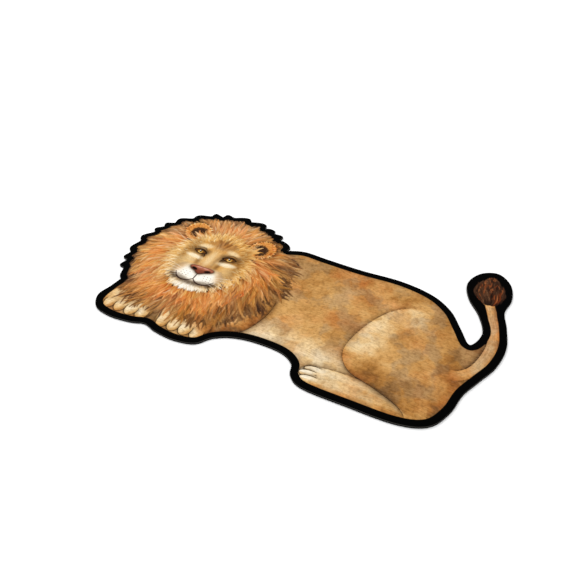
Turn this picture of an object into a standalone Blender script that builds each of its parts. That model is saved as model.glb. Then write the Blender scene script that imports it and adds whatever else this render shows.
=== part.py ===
"""A contour-cut rug in the shape of a resting lion, lying flat on a floor.

Two layers are cut with one knife and bonded face to face: a black non-slip base, and the
printed plush face that lies on it. Metres, +Z up, the lion's feet towards -Y. The origin is
the middle of the rug's box, on the floor.
"""

import math

import bpy
from mathutils import Vector

MM = 0.001

# Driving dimensions, in millimetres. The table below gives the shape, and is scaled to LENGTH.
LENGTH = 1200.0
BASE_THICKNESS = 4.0
FACE_THICKNESS = 2.0
BOND_GAP = 0.3
BASE_RIM_ROUND = 0.5
FACE_RIM_ROUND = 0.8

# The mane is a circle. Its edge is a row of hair tips, each a bump between two notches, that
# lean away from the crown on both sides and are uneven in width and depth. The row runs from
# the withers over the crown to the left wrist. Directions are in degrees from +X.
MANE_CENTRE = Vector((-322.0, -8.0))
MANE_RADIUS = 266.0
MANE_FIRST_DIRECTION = 40.0
MANE_LAST_DIRECTION = 226.0
CROWN_DIRECTION = 90.0
MANE_TIPS = 16
MANE_TIP_DEPTH = 14.0
MANE_TIP_DEPTH_SPREAD = 4.0
MANE_TIP_WIDTH_SPREAD = 0.22
MANE_TIP_LEAN = 0.62
MANE_TIP_STEPS = 6

# The rest of the edge, anticlockwise from the left wrist: two paws that face forward, the
# belly, a folded hind foot, and a tail that rises behind the rump. Columns: place, x, y in mm.
EDGE = (
    ("left wrist", -522.0, -236.0),
    ("left paw, side", -530.0, -284.0),
    ("left paw, outer toe", -500.0, -328.0),
    ("left paw, tip", -440.0, -342.0),
    ("left paw, inner toe", -374.0, -336.0),
    ("between the paws", -332.0, -324.0),
    ("right paw, inner toe", -290.0, -336.0),
    ("right paw, tip", -226.0, -342.0),
    ("right paw, outer toe", -164.0, -328.0),
    ("right paw, side", -130.0, -288.0),
    ("elbow", -84.0, -262.0),
    ("belly, front", -20.0, -250.0),
    ("belly, rear", 60.0, -253.0),
    ("hind toes, top", 104.0, -276.0),
    ("hind toes, tip", 120.0, -314.0),
    ("hind toes, sole", 164.0, -340.0),
    ("hind foot", 286.0, -343.0),
    ("heel", 414.0, -340.0),
    ("hock", 488.0, -312.0),
    ("seat", 522.0, -250.0),
    ("buttock", 536.0, -180.0),
    ("tail root, under", 562.0, -118.0),
    ("tail, lower bend", 590.0, -50.0),
    ("tail, outer side", 600.0, 30.0),
    ("tail, upper bend", 584.0, 110.0),
    ("tail, neck", 566.0, 172.0),
    ("tuft, outer side", 574.0, 240.0),
    ("tuft, outer shoulder", 556.0, 306.0),
    ("tuft, tip", 512.0, 342.0),
    ("tuft, inner shoulder", 462.0, 318.0),
    ("tuft, inner side", 438.0, 256.0),
    ("tuft, root", 458.0, 190.0),
    ("tail, inner bend", 502.0, 128.0),
    ("tail, inner side", 528.0, 60.0),
    ("crook of the tail", 508.0, 0.0),
    ("rump", 470.0, 50.0),
    ("croup", 426.0, 110.0),
    ("hip", 358.0, 154.0),
    ("loin", 256.0, 174.0),
    ("back, middle", 130.0, 170.0),
    ("behind the withers", 10.0, 174.0),
    ("withers", -68.0, 178.0),
)
EDGE_STEPS = 5

# Columns: node, floor to underside, thickness, rim round, all in mm, then the material's
# linear colour and roughness.
LAYERS = (
    ("non_slip_base", 0.0, BASE_THICKNESS, BASE_RIM_ROUND, (0.012, 0.012, 0.013), 0.85),
    (
        "printed_face",
        BASE_THICKNESS + BOND_GAP,
        FACE_THICKNESS,
        FACE_RIM_ROUND,
        (0.45, 0.24, 0.095),
        0.9,
    ),
)


def notch_direction(notch):
    """The direction of a notch, in degrees. The first and last stay at the ends of the row."""
    shift = MANE_TIP_WIDTH_SPREAD * math.sin(2.0 * math.pi * 4.0 * notch / MANE_TIPS)
    span = MANE_LAST_DIRECTION - MANE_FIRST_DIRECTION
    return MANE_FIRST_DIRECTION + span * (notch + shift) / MANE_TIPS


def mane_edge():
    """The points of all hair tips, from the withers over the crown to the left wrist."""
    points = []
    for tip in range(MANE_TIPS):
        notch, next_notch = notch_direction(tip), notch_direction(tip + 1)
        lean = MANE_TIP_LEAN if notch < CROWN_DIRECTION else 1.0 / MANE_TIP_LEAN
        depth = MANE_TIP_DEPTH + MANE_TIP_DEPTH_SPREAD * math.sin(2.4 * tip)
        for step in range(MANE_TIP_STEPS):
            share = step / MANE_TIP_STEPS
            turn = math.radians(notch + (next_notch - notch) * share)
            bump = math.sin(math.pi * share**lean) - 0.5
            reach = MANE_RADIUS + depth * bump
            points.append(MANE_CENTRE + reach * Vector((math.cos(turn), math.sin(turn))))
    return points


def smooth_through(before, points, after, steps):
    """A Catmull-Rom curve through points, from the point before them to the one after."""
    knots = [before, *points, after]
    path = []
    for i in range(len(knots) - 1):
        here, there = knots[i], knots[i + 1]
        leave = (there - knots[max(i - 1, 0)]) / 2.0
        arrive = (knots[min(i + 2, len(knots) - 1)] - here) / 2.0
        for step in range(steps):
            t = step / steps
            path.append(
                here * (2.0 * t**3 - 3.0 * t**2 + 1.0)
                + leave * (t**3 - 2.0 * t**2 + t)
                + there * (3.0 * t**2 - 2.0 * t**3)
                + arrive * (t**3 - t**2)
            )
    return path[1:]


def rug_edge():
    """The knife's whole path, LENGTH long and about the middle of its own box."""
    mane = mane_edge()
    wrist, withers = mane[-1], mane[0]
    rest = [Vector((x, y)) for _, x, y in EDGE]
    points = mane + smooth_through(wrist, rest, withers, EDGE_STEPS)
    low = Vector((min(p.x for p in points), min(p.y for p in points)))
    high = Vector((max(p.x for p in points), max(p.y for p in points)))
    scale = LENGTH / (high.x - low.x)
    return [(p - (low + high) / 2.0) * scale for p in points]


def cloth_material(name, colour, roughness):
    """A plain Principled material for one layer."""
    material = bpy.data.materials.new(name)
    material.use_nodes = True
    shader = material.node_tree.nodes["Principled BSDF"]
    shader.inputs["Base Color"].default_value = (*colour, 1.0)
    shader.inputs["Roughness"].default_value = roughness
    shader.inputs["Metallic"].default_value = 0.0
    material.diffuse_color = (*colour, 1.0)
    return material


def cut_layer(node, underside, thickness, rim_round, edge, material, collection):
    """One layer: the closed edge as a flat curve, filled, with its thickness and rim."""
    curve = bpy.data.curves.new(node, "CURVE")
    curve.dimensions = "2D"
    curve.fill_mode = "BOTH"
    curve.extrude = (thickness / 2.0 - rim_round) * MM
    curve.bevel_depth = rim_round * MM
    curve.bevel_resolution = 0
    curve.offset = -rim_round * MM
    spline = curve.splines.new("POLY")
    spline.points.add(len(edge) - 1)
    spline.use_cyclic_u = True
    for point, place in zip(spline.points, edge):
        point.co = (place.x * MM, place.y * MM, 0.0, 1.0)
    curve.materials.append(material)
    layer = bpy.data.objects.new(node, curve)
    layer.location.z = (underside + thickness / 2.0) * MM
    collection.objects.link(layer)


def build():
    """Clears the scene and cuts the rug's layers into their own collection."""
    for old in list(bpy.data.objects):
        bpy.data.objects.remove(old)
    collection = bpy.data.collections.new("lion_rug")
    bpy.context.scene.collection.children.link(collection)
    edge = rug_edge()
    for node, underside, thickness, rim_round, colour, roughness in LAYERS:
        material = cloth_material(node, colour, roughness)
        cut_layer(node, underside, thickness, rim_round, edge, material, collection)


build()
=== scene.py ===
"""A contour-cut children's rug, printed with a resting lion, lying on a pale studio floor.

The rug has two layers, cut with one knife and bonded: a printed short-pile face and a black
non-slip base. The print is worked out here on the points of the cloth, as a painter would lay
it: broad forms first, then locks of hair, then the face. Lengths in the print are millimetres
on the rug, with the lion's head towards -X and its feet towards -Y. Meshes are in metres.
"""

from __future__ import annotations

import logging
import math
from dataclasses import dataclass, field
from enum import Enum
from typing import NamedTuple, Sequence

import bpy
import numpy as np
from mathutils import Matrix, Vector
from mathutils.geometry import delaunay_2d_cdt

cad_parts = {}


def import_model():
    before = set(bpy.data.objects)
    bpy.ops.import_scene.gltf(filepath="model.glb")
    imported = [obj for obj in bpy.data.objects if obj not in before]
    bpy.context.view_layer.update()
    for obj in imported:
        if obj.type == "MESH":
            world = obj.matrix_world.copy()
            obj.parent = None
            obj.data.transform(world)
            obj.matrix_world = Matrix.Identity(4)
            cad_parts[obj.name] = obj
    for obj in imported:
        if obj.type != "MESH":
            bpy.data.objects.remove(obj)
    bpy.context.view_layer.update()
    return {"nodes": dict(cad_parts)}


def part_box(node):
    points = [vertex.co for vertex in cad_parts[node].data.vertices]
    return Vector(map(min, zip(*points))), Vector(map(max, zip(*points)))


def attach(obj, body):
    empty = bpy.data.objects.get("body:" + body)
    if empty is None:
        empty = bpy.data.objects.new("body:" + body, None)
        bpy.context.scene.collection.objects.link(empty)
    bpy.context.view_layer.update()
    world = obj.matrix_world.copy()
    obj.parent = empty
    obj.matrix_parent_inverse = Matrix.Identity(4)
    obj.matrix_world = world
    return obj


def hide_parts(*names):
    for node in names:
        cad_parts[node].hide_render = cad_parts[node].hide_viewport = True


LOG = logging.getLogger("rug")
Array = np.ndarray
Knots = Sequence[Sequence[float]]

MM = 0.001
BODY = "root"
BLACK_MARGIN = 22.0


# --------------------------------------------------------------------------- numbers and noise
def ease(low: Array | float, high: Array | float, value: Array) -> Array:
    """Rises smoothly from 0 at low to 1 at high, or falls where high is under low.

    Args:
        low: The value at which the result is 0.
        high: The value at which the result is 1.
        value: Numbers to ease.

    Returns:
        Numbers from 0 to 1.
    """
    share = np.clip((value - low) / (high - low), 0.0, 1.0)
    return share * share * (3.0 - 2.0 * share)


def blend(first: Array, second: Array, share: Array | float) -> Array:
    """Mixes two arrays of colours.

    Args:
        first: Colours where share is 0.
        second: Colours where share is 1.
        share: One number for each colour, or one for all.

    Returns:
        The mixed colours.
    """
    share = np.asarray(share)[..., None]
    return first + (second - first) * share


def lattice(column: Array, row: Array, seed: int) -> Array:
    """A fixed random number from 0 to 1 for each whole-numbered place.

    Args:
        column: Whole numbers across.
        row: Whole numbers up.
        seed: Chooses the pattern.

    Returns:
        One number for each place.
    """
    mixed = column.astype(np.int64) * 374761393 + row.astype(np.int64) * 668265263
    mixed = mixed + seed * 974634777
    mixed = (mixed ^ (mixed >> 13)) & 0xFFFFFFFF
    mixed = (mixed * 1274126177) & 0xFFFFFFFF
    mixed = mixed ^ (mixed >> 16)
    return (mixed & 0xFFFFFF) / float(0x1000000)


def noise(x: Array, y: Array, size: float, seed: int) -> Array:
    """Smooth noise from -1 to 1.

    Args:
        x: Places across.
        y: Places up.
        size: How wide a lump is, in the units of x and y.
        seed: Chooses the pattern.

    Returns:
        One number for each place.
    """
    across, up = x / size + seed * 17.31, y / size - seed * 9.77
    column, row = np.floor(across), np.floor(up)
    u, v = across - column, up - row
    u, v = u * u * (3.0 - 2.0 * u), v * v * (3.0 - 2.0 * v)
    low = lattice(column, row, seed) * (1.0 - u) + lattice(column + 1, row, seed) * u
    high = lattice(column, row + 1, seed) * (1.0 - u) + lattice(column + 1, row + 1, seed) * u
    return 2.0 * (low * (1.0 - v) + high * v) - 1.0


def cloud(x: Array, y: Array, size: float, seed: int, octaves: int = 4) -> Array:
    """Noise with finer and finer lumps, each octave half as strong as the one before.

    Args:
        x: Places across.
        y: Places up.
        size: How wide the widest lumps are.
        seed: Chooses the pattern.
        octaves: How many sizes of lump there are.

    Returns:
        One number for each place, mostly from -1 to 1.
    """
    shares = [0.5**octave for octave in range(octaves)]
    total = sum(noise(x, y, size * share, seed + n) * share for n, share in enumerate(shares))
    return total * 1.4 / sum(shares)


def noise_at(place: Array, size: float, seed: int) -> float:
    """Smooth noise at one place."""
    return float(noise(place[:1], place[1:2], size, seed)[0])


# --------------------------------------------------------------------------- curves
def smooth_path(knots: Knots, steps: int, closed: bool) -> Array:
    """A Catmull-Rom curve through knots.

    Args:
        knots: Points as (x, y).
        steps: Points on the curve for each knot.
        closed: Whether the last knot joins the first.

    Returns:
        The curve's points, one row each.
    """
    points = np.asarray(knots, float)
    count = len(points)
    share = (np.arange(steps) / steps)[:, None]
    path = []
    for start in range(count if closed else count - 1):
        places = np.arange(start - 1, start + 3)
        places = places % count if closed else np.clip(places, 0, count - 1)
        before, here, there, after = points[places]
        path.append(
            here
            + 0.5 * (there - before) * share
            + (before - 2.5 * here + 2.0 * there - 0.5 * after) * share**2
            + (1.5 * (here - there) + 0.5 * (after - before)) * share**3
        )
    if not closed:
        path.append(points[-1:])
    return np.vstack(path)


class Nearest(NamedTuple):
    """How places lie to a path: how far, which way from it, how far along it and on which side."""

    distance: Array
    away_x: Array
    away_y: Array
    along: Array
    side: Array


def nearest(x: Array, y: Array, path: Array, closed: bool) -> Nearest:
    """Measures places against a path.

    Args:
        x: Places across.
        y: Places up.
        path: The path's points, one row each.
        closed: Whether the last point joins the first.

    Returns:
        The distance, the unit vector away from the path, the share along it from 0 to 1, and
        the side, 1 on the left of the path's way.
    """
    starts = path if closed else path[:-1]
    ends = np.roll(path, -1, 0) if closed else path[1:]
    lengths = np.maximum(np.hypot(*(ends - starts).T), 1e-9)
    before = np.concatenate([[0.0], np.cumsum(lengths)])
    best = np.full(x.shape, np.inf)
    found = [np.zeros(x.shape) for _ in range(4)]
    for start, end, length, run in zip(starts, ends, lengths, before):
        way = (end - start) / length
        from_x, from_y = x - start[0], y - start[1]
        share = np.clip((from_x * way[0] + from_y * way[1]) / length, 0.0, 1.0)
        off_x, off_y = from_x - share * length * way[0], from_y - share * length * way[1]
        square = off_x * off_x + off_y * off_y
        nearer = square < best
        best[nearer] = square[nearer]
        turn = np.sign(way[0] * from_y - way[1] * from_x)
        for store, value in zip(found, (off_x, off_y, run + share * length, turn)):
            store[nearer] = value[nearer]
    distance = np.sqrt(best)
    safe = np.maximum(distance, 1e-6)
    return Nearest(distance, found[0] / safe, found[1] / safe, found[2] / before[-1], found[3])


def inside(x: Array, y: Array, path: Array) -> Array:
    """Whether places lie within a closed path.

    Args:
        x: Places across.
        y: Places up.
        path: The path's points, one row each.

    Returns:
        True for each place within.
    """
    hit = np.zeros(x.shape, bool)
    for (start_x, start_y), (end_x, end_y) in zip(path, np.roll(path, -1, 0)):
        if start_y != end_y:
            crosses = (start_y > y) != (end_y > y)
            meet = (end_x - start_x) * (y - start_y) / (end_y - start_y) + start_x
            hit ^= crosses & (x < meet)
    return hit


def against_edge(x: Array, y: Array, edge: Array) -> tuple[Nearest, Array]:
    """Measures places against a closed edge.

    Args:
        x: Places across.
        y: Places up.
        edge: The edge's points, one row each.

    Returns:
        How they lie to it, and how deep within it they are, negative outside.
    """
    way = nearest(x, y, edge, True)
    return way, np.where(inside(x, y, edge), way.distance, -way.distance)


class Outline:
    """The rug's edge, and how deep within it places lie."""

    GRID_STEP = 8.0
    GRID_SPARE = 40.0

    def __init__(self, ring: Array) -> None:
        """Keeps the edge and a coarse map of the depth.

        Args:
            ring: The edge's points in mm, anticlockwise.
        """
        self.ring = ring
        self.low = ring.min(0) - self.GRID_SPARE
        high = ring.max(0) + self.GRID_SPARE
        columns = np.arange(self.low[0], high[0], self.GRID_STEP)
        rows = np.arange(self.low[1], high[1], self.GRID_STEP)
        across, up = np.meshgrid(columns, rows)
        self.map = self.depth(across.ravel(), up.ravel()).reshape(across.shape)

    def depth(self, x: Array, y: Array) -> Array:
        """How deep within the edge places lie, negative outside.

        Args:
            x: Places across, in mm.
            y: Places up, in mm.

        Returns:
            One number for each place, in mm.
        """
        return against_edge(x, y, self.ring)[1]

    def rough_depth(self, places: Array) -> Array:
        """The depth read from the coarse map, for many tries at little cost.

        Args:
            places: One row of x and y for each place.

        Returns:
            One number for each place, in mm.
        """
        steps = (places - self.low) / self.GRID_STEP
        most = np.array(self.map.shape[::-1]) - 2
        cell = np.clip(np.floor(steps).astype(int), 0, most)
        u, v = np.clip(steps - cell, 0.0, 1.0).T
        column, row = cell.T
        low = self.map[row, column] * (1 - u) + self.map[row, column + 1] * u
        high = self.map[row + 1, column] * (1 - u) + self.map[row + 1, column + 1] * u
        return low * (1 - v) + high * v


# --------------------------------------------------------------------------- dyes and canvas
def srgb(code: str) -> Array:
    """An sRGB hex code as three numbers from 0 to 1."""
    return np.array([int(code[place : place + 2], 16) / 255.0 for place in (1, 3, 5)])


def linear(code: str) -> tuple[float, float, float, float]:
    """An sRGB hex code as a linear colour with full alpha."""
    return (*(float(part) for part in to_linear(srgb(code))), 1.0)


def to_linear(colour: Array) -> Array:
    """sRGB numbers from 0 to 1 as linear ones."""
    return np.where(colour <= 0.04045, colour / 12.92, ((colour + 0.055) / 1.055) ** 2.4)


class Dye(Enum):
    """The dyes of the print, each from its deepest colour to its palest."""

    COAT = ("#2B1A0D", "#6C4723", "#A9753A", "#CC9B5C", "#E5C694", "#F5E8CE")
    RUST = ("#300F06", "#7E3012", "#BC5522", "#D87E44", "#E9AF7D", "#F6DCC0")
    GOLD = ("#2E1A0C", "#7A4819", "#BC7C32", "#DDA455", "#EFCC8E", "#FAECCB")
    SMOKE = ("#1B1410", "#47372A", "#775F47", "#9D856A", "#C3AE90", "#E6DBC6")
    UMBER = ("#060403", "#1A100B", "#3A2418", "#5F402B", "#876344", "#B08E6C")
    WHITE = ("#3A2E26", "#84705C", "#BCA88F", "#DECFB7", "#F2E9D8", "#FFFCF5")
    SKIN = ("#1A0F0B", "#4A2419", "#83432F", "#A9664C", "#C99079", "#E8C6B4")

    def at(self, tone: Array) -> Array:
        """The dye's colour at each tone.

        Args:
            tone: 0 for the deepest colour, 1 for the palest.

        Returns:
            sRGB colours, one row each.
        """
        codes = np.array([srgb(code) for code in self.value])
        stops = np.linspace(0.0, 1.0, len(codes))
        tone = np.clip(tone, 0.0, 1.0)
        return np.stack([np.interp(tone, stops, codes[:, part]) for part in range(3)], -1)


@dataclass
class Canvas:
    """The points of the cloth, sorted by their height on the rug, and what is printed on them.

    Attributes:
        x: Places across, in mm.
        y: Places up, in mm.
        depth: How deep within the rug's edge each point is, in mm.
    """

    x: Array
    y: Array
    depth: Array

    INK_REACH = 4.5
    INK_FADE = 2.4
    NO_INK = -4.0
    BARE = -30.0
    BLEED = (-6.0, -3.0)

    def __post_init__(self) -> None:
        """Sorts the points and starts from a black cloth.

        colour is the print's sRGB colour; coat, how deep within the painted lion a point is in
        mm, below 0 on bare black; ink, its distance from the nearest drawn line, below 0 on one
        side of it, and ink_half, half that line's width; hair, 1 in long hair and 0 in short
        fur; and strand, how far along and across the hair it is in mm.
        """
        self.order = np.argsort(self.y, kind="stable")
        self.x, self.y = self.x[self.order], self.y[self.order]
        self.depth = self.depth[self.order]
        count = len(self.x)
        self.colour = np.zeros((count, 3))
        self.coat = np.full(count, self.BARE)
        self.ink = np.full(count, self.INK_REACH)
        self.ink_half = np.full(count, self.NO_INK)
        self.hair = np.zeros(count)
        self.strand = np.stack([self.x, self.y], -1)

    def within(self, low: Array, high: Array) -> Array:
        """The points in a box.

        Args:
            low: The box's least x and y.
            high: The box's greatest x and y.

        Returns:
            Their places in the canvas.
        """
        first, last = np.searchsorted(self.y, (low[1], high[1]))
        across = self.x[first:last]
        return first + np.flatnonzero((across > low[0]) & (across < high[0]))

    def lay(self, places: Array, colour: Array, cover: Array) -> None:
        """Lays colour over what is there.

        Args:
            places: The points to paint.
            colour: One colour for each, or one for all.
            cover: How much of the new colour each gets, from 0 to 1.
        """
        self.colour[places] = blend(self.colour[places], colour, cover)

    def lay_shape(self, places: Array, colour: Array, cover: Array, signed: Array) -> None:
        """Lays colour over a shape, adds the shape to the lion and clears the lines under it.

        On bare black the colour runs on past the shape's edge, which the material cuts crisply.

        Args:
            places: The points to paint.
            colour: One colour for each.
            cover: How much of the new colour each gets where it lies over other colour.
            signed: How deep within the shape each point is, in mm.
        """
        bare = self.coat[places] < -1.0
        self.lay(places, colour, np.where(bare, ease(*self.BLEED, signed), cover))
        kept = np.minimum(signed, self.depth[places] - BLACK_MARGIN)
        self.coat[places] = np.maximum(self.coat[places], kept)
        self.ink_half[places[cover > 0.5]] = self.NO_INK

    def shade(self, places: Array, loss: Array) -> None:
        """Darkens points, blue first, as a brown glaze does.

        Args:
            places: The points to darken.
            loss: How much each loses, from 0 to 1.
        """
        keep = np.clip(1.0 - loss, 0.0, 1.0)[:, None]
        self.colour[places] *= keep ** np.array([1.0, 1.12, 1.25])

    def draw(self, places: Array, signed: Array, half: Array) -> None:
        """Draws a thin dark line, where no stronger one is.

        Args:
            places: Points round the line.
            signed: How far each is from the line, below 0 on one side.
            half: Half the line's width at each.
        """
        far = np.abs(signed)
        faded = half - 1.6 * np.clip(far - self.INK_FADE, 0.0, None)
        won = faded - far > self.ink_half[places] - np.abs(self.ink[places])
        won &= (far < self.INK_REACH) & (half > 0.1)
        self.ink[places[won]], self.ink_half[places[won]] = signed[won], faded[won]

    def in_cloth_order(self, values: Array) -> Array:
        """Puts values of the canvas's points back into the cloth's own order."""
        back = np.empty_like(values)
        back[self.order] = values
        return back


# The picture's own light comes from the upper left, towards whoever looks at it.
LIGHT = np.array([-0.48, 0.62, 0.62]) / math.sqrt(0.48**2 + 0.62**2 + 0.62**2)


def lit(way: Nearest, depth: Array, rounding: float, steep: float = 0.9) -> Array:
    """How much more light a rounded shape catches than a flat one.

    Args:
        way: How its points lie to its edge.
        depth: How deep within it they are, in mm.
        rounding: How far in from the edge it curves, in mm.
        steep: How steep it is at its edge, from 0 to 1.

    Returns:
        One number for each point, 0 on the flat.
    """
    lean = steep * np.sqrt(1.0 - np.clip(depth / rounding, 0.0, 1.0))
    to_light = way.away_x * LIGHT[0] + way.away_y * LIGHT[1]
    return (np.sqrt(1.0 - lean * lean) - 1.0) * LIGHT[2] - to_light * lean


class Spot(NamedTuple):
    """A soft oval where a tone is stronger, or weaker where power is negative."""

    x: float
    y: float
    wide: float
    high: float
    power: float


def spotted(x: Array, y: Array, base: float, spots: Sequence[Spot]) -> Array:
    """A base tone with soft spots in it.

    Args:
        x: Places across.
        y: Places up.
        base: The tone away from all spots.
        spots: Where it differs.

    Returns:
        One tone for each place.
    """
    tone = np.full(x.shape, base)
    for spot in spots:
        reach = ((x - spot.x) / spot.wide) ** 2 + ((y - spot.y) / spot.high) ** 2
        tone += spot.power * np.exp(-reach)
    return tone


def coat_colour(x: Array, y: Array, tone: Array, rust: Array | float, smoke: float) -> Array:
    """The mottled colour of short fur, washed on in patches with run edges.

    Args:
        x: Places across.
        y: Places up.
        tone: How pale the fur is, from 0 to 1.
        rust: How red it is, from 0 to 1.
        smoke: How grey its dark patches are, from 0 to 1.

    Returns:
        sRGB colours, one row each.
    """
    broad = cloud(x, y * 1.2, 75.0, 11)
    run_x, run_y = x + 9.0 * noise(x, y, 14.0, 12), y + 9.0 * noise(x, y, 14.0, 13)
    wash = cloud(run_x, run_y, 34.0, 23)
    mottled = tone + 0.06 * broad - 0.08 * ease(0.10, 0.50, wash) + 0.05 * ease(0.10, 0.50, -wash)
    red = np.clip(rust + 0.26 * cloud(run_x, run_y, 62.0, 31) - 0.02, 0.0, 1.0)
    grey = np.clip(smoke * ease(-0.05, 0.40, cloud(run_x, run_y, 48.0, 37)), 0.0, 1.0)
    colour = blend(Dye.COAT.at(mottled), Dye.RUST.at(mottled), red)
    return blend(colour, Dye.SMOKE.at(mottled - 0.04), grey)


@dataclass(frozen=True)
class Form:
    """A rounded part of the body, shaded as if it were blown up from its edge.

    Attributes:
        edge: Points round the part, as (place, x, y).
        rounding: How far in from the edge the part curves, in mm.
        tone: How pale its fur is.
        rust: How red its fur is.
        smoke: How grey its dark patches are.
        tones: Where it is paler or darker.
        glow: How strongly the light models it.
        shadow: How dark the shadow is that it throws on what is behind.
        shadow_reach: How far that shadow reaches, in mm.
        rim_loss: How dark the band just within its edge is.
        drawn: The places between which its edge is drawn, or none for the whole edge. The rest
            melts into what is behind.
        ink: The width of the line along its edge, in mm.
    """

    edge: tuple[tuple[str, float, float], ...]
    rounding: float
    tone: float
    rust: float = 0.10
    smoke: float = 0.4
    tones: tuple[Spot, ...] = ()
    glow: float = 0.34
    shadow: float = 0.55
    shadow_reach: float = 8.0
    rim_loss: float = 0.16
    drawn: tuple[str, str] | None = None
    ink: float = 2.6

    EDGE_STEPS = 6
    SOFT_EDGE = 1.2
    MELT = 26.0
    INK_WAVE = 34.0

    def paint(self, canvas: Canvas) -> None:
        """Paints the part, its shadow and its line.

        Args:
            canvas: Where to paint.
        """
        path = smooth_path([(x, y) for _, x, y in self.edge], self.EDGE_STEPS, True)
        spare = 4.0 * self.shadow_reach
        places = canvas.within(path.min(0) - spare, path.max(0) + spare)
        x, y = canvas.x[places], canvas.y[places]
        way, signed = against_edge(x, y, path)
        depth = np.clip(signed, 0.0, None)
        drawn = self.drawn_share(way.along, path)
        to_light = way.away_x * LIGHT[0] + way.away_y * LIGHT[1]
        fall = self.shadow * np.exp(np.clip(signed, None, 0.0) / self.shadow_reach)
        fall *= drawn * (0.72 - 0.28 * to_light)
        canvas.shade(places, np.where(signed > 0.0, 0.0, fall))
        light = lit(way, depth, self.rounding)
        tone = spotted(x, y, self.tone, self.tones) + 1.1 * self.glow * light
        line = self.rim_loss * np.exp(-depth / 4.0) * drawn
        tone -= line * (1.0 - 0.6 * np.clip(2.0 * light, 0.0, 1.0))
        colour = coat_colour(x, y, tone, self.rust, self.smoke)
        cover = ease(-self.SOFT_EDGE, self.SOFT_EDGE + self.MELT * (1.0 - drawn), signed)
        canvas.lay_shape(places, colour, cover, signed)
        uneven = 0.72 + 0.28 * noise(x, y, self.INK_WAVE, 51)
        shady = np.clip(0.75 + 0.4 * np.sign(signed) * to_light, 0.4, 1.0)
        canvas.draw(places, signed, 0.5 * self.ink * uneven * shady * drawn)

    def drawn_share(self, along: Array, path: Array) -> Array:
        """How clearly the edge is drawn at each share along it, from 0 to 1.

        Args:
            along: Shares along the path.
            path: The edge's points.

        Returns:
            One number for each share.
        """
        if self.drawn is None:
            return np.ones(along.shape)
        names = [name for name, _, _ in self.edge]
        run = np.cumsum(np.hypot(*(np.roll(path, -1, 0) - path).T))
        first, last = (run[names.index(name) * self.EDGE_STEPS] / run[-1] for name in self.drawn)
        span, share = (last - first) % 1.0, (along - first) % 1.0
        return ease(0.0, 0.06, share) * ease(span, span - 0.06, share)


@dataclass(frozen=True)
class Hair:
    """How one kind of hair is painted.

    Attributes:
        length: Mean length of a lock, in mm.
        width: Mean width, in mm.
        contrast: How much its strands differ in tone.
        root_loss: How much darker its root is.
        tip_gain: How much paler its tip is.
        soft: How soft its edges are, in mm.
        cover: How opaque it is.
        jitter: How much locks differ in tone.
    """

    length: float
    width: float
    contrast: float = 0.20
    root_loss: float = 0.22
    tip_gain: float = 0.06
    soft: float = 1.4
    cover: float = 1.0
    jitter: float = 0.045


@dataclass
class Lock:
    """One tapered, bent and waved lock of hair.

    Attributes:
        root: Where it grows from.
        way: Its direction at the root, in radians.
        length: Its length, in mm.
        width: Its greatest width, in mm.
        bend: How far it turns along its length, in radians.
        seed: Chooses its strands and its wave.
    """

    root: Array
    way: float
    length: float
    width: float
    bend: float
    seed: int

    STEPS = 8
    WAVE = 0.22
    SHORTEN = 0.87
    TRIES = 15

    def path(self) -> Array:
        """Its middle line, from root to tip."""
        share = (np.arange(self.STEPS) + 0.5) / self.STEPS
        turns = self.way + self.bend * share + self.WAVE * np.sin(6.0 * share + self.seed)
        steps = np.stack([np.cos(turns), np.sin(turns)], -1) * self.length / self.STEPS
        return np.vstack([self.root, self.root + np.cumsum(steps, 0)])

    def keep_within(self, outline: Outline, least_depth: float) -> bool:
        """Shortens the lock until its whole line is deep enough within the rug's edge.

        Args:
            outline: The rug's edge.
            least_depth: How deep its line has to stay, in mm.

        Returns:
            Whether a lock worth painting is left.
        """
        for _ in range(self.TRIES):
            if outline.rough_depth(self.path()).min() > least_depth:
                return self.length > self.width
            self.length *= self.SHORTEN
        return False

    def paint(self, canvas: Canvas, hair: Hair, tone: float, dyes: Sequence[tuple[Dye, float]]) -> None:
        """Paints the lock with its strands, lit on one side.

        Args:
            canvas: Where to paint.
            hair: The kind of hair.
            tone: How pale it is.
            dyes: Dyes laid one over the other, each with its share.
        """
        path = self.path()
        places = canvas.within(path.min(0) - self.width, path.max(0) + self.width)
        if len(places) == 0:
            return
        way = nearest(canvas.x[places], canvas.y[places], path, False)
        across = way.distance * way.side
        half = 0.5 * self.width * np.sin(math.pi * way.along**0.62 * 0.93 + 0.12) ** 0.8
        strands = noise(across + self.seed * 3.1, way.along * self.length * 0.10, 2.6, self.seed)
        half = half * (1.0 + 0.35 * strands * way.along)
        cover = hair.cover * ease(-hair.soft, hair.soft, half - way.distance)
        cover *= ease(1.0, 0.985, way.along) * ease(0.0, 0.03, way.along)
        seen = cover > 0.003
        if not seen.any():
            return
        places, across, strands, cover = places[seen], across[seen], strands[seen], cover[seen]
        along, margin = way.along[seen], (half - way.distance)[seen]
        fine = noise(across + self.seed * 1.7, along * self.length * 0.06, 1.7, self.seed + 5)
        aside = 2.0 * across / self.width
        chord = path[-1] - path[0]
        left = np.array([-chord[1], chord[0]]) / max(np.hypot(*chord), 1e-6)
        tones = tone + hair.contrast * (0.55 * strands + 0.45 * fine)
        tones += 0.14 * float(left @ LIGHT[:2]) * aside - 0.09 * ease(0.6, 1.0, np.abs(aside))
        tones += hair.tip_gain * along - hair.root_loss * ease(0.45, 0.0, along)
        colour = dyes[0][0].at(tones)
        for dye, share in dyes[1:]:
            colour = blend(colour, dye.at(tones), share)
        canvas.lay(places, colour, cover)
        canvas.coat[places] = np.maximum(canvas.coat[places], margin)
        solid = places[cover > 0.5]
        canvas.hair[solid], canvas.ink_half[solid] = 1.0, canvas.NO_INK


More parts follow.
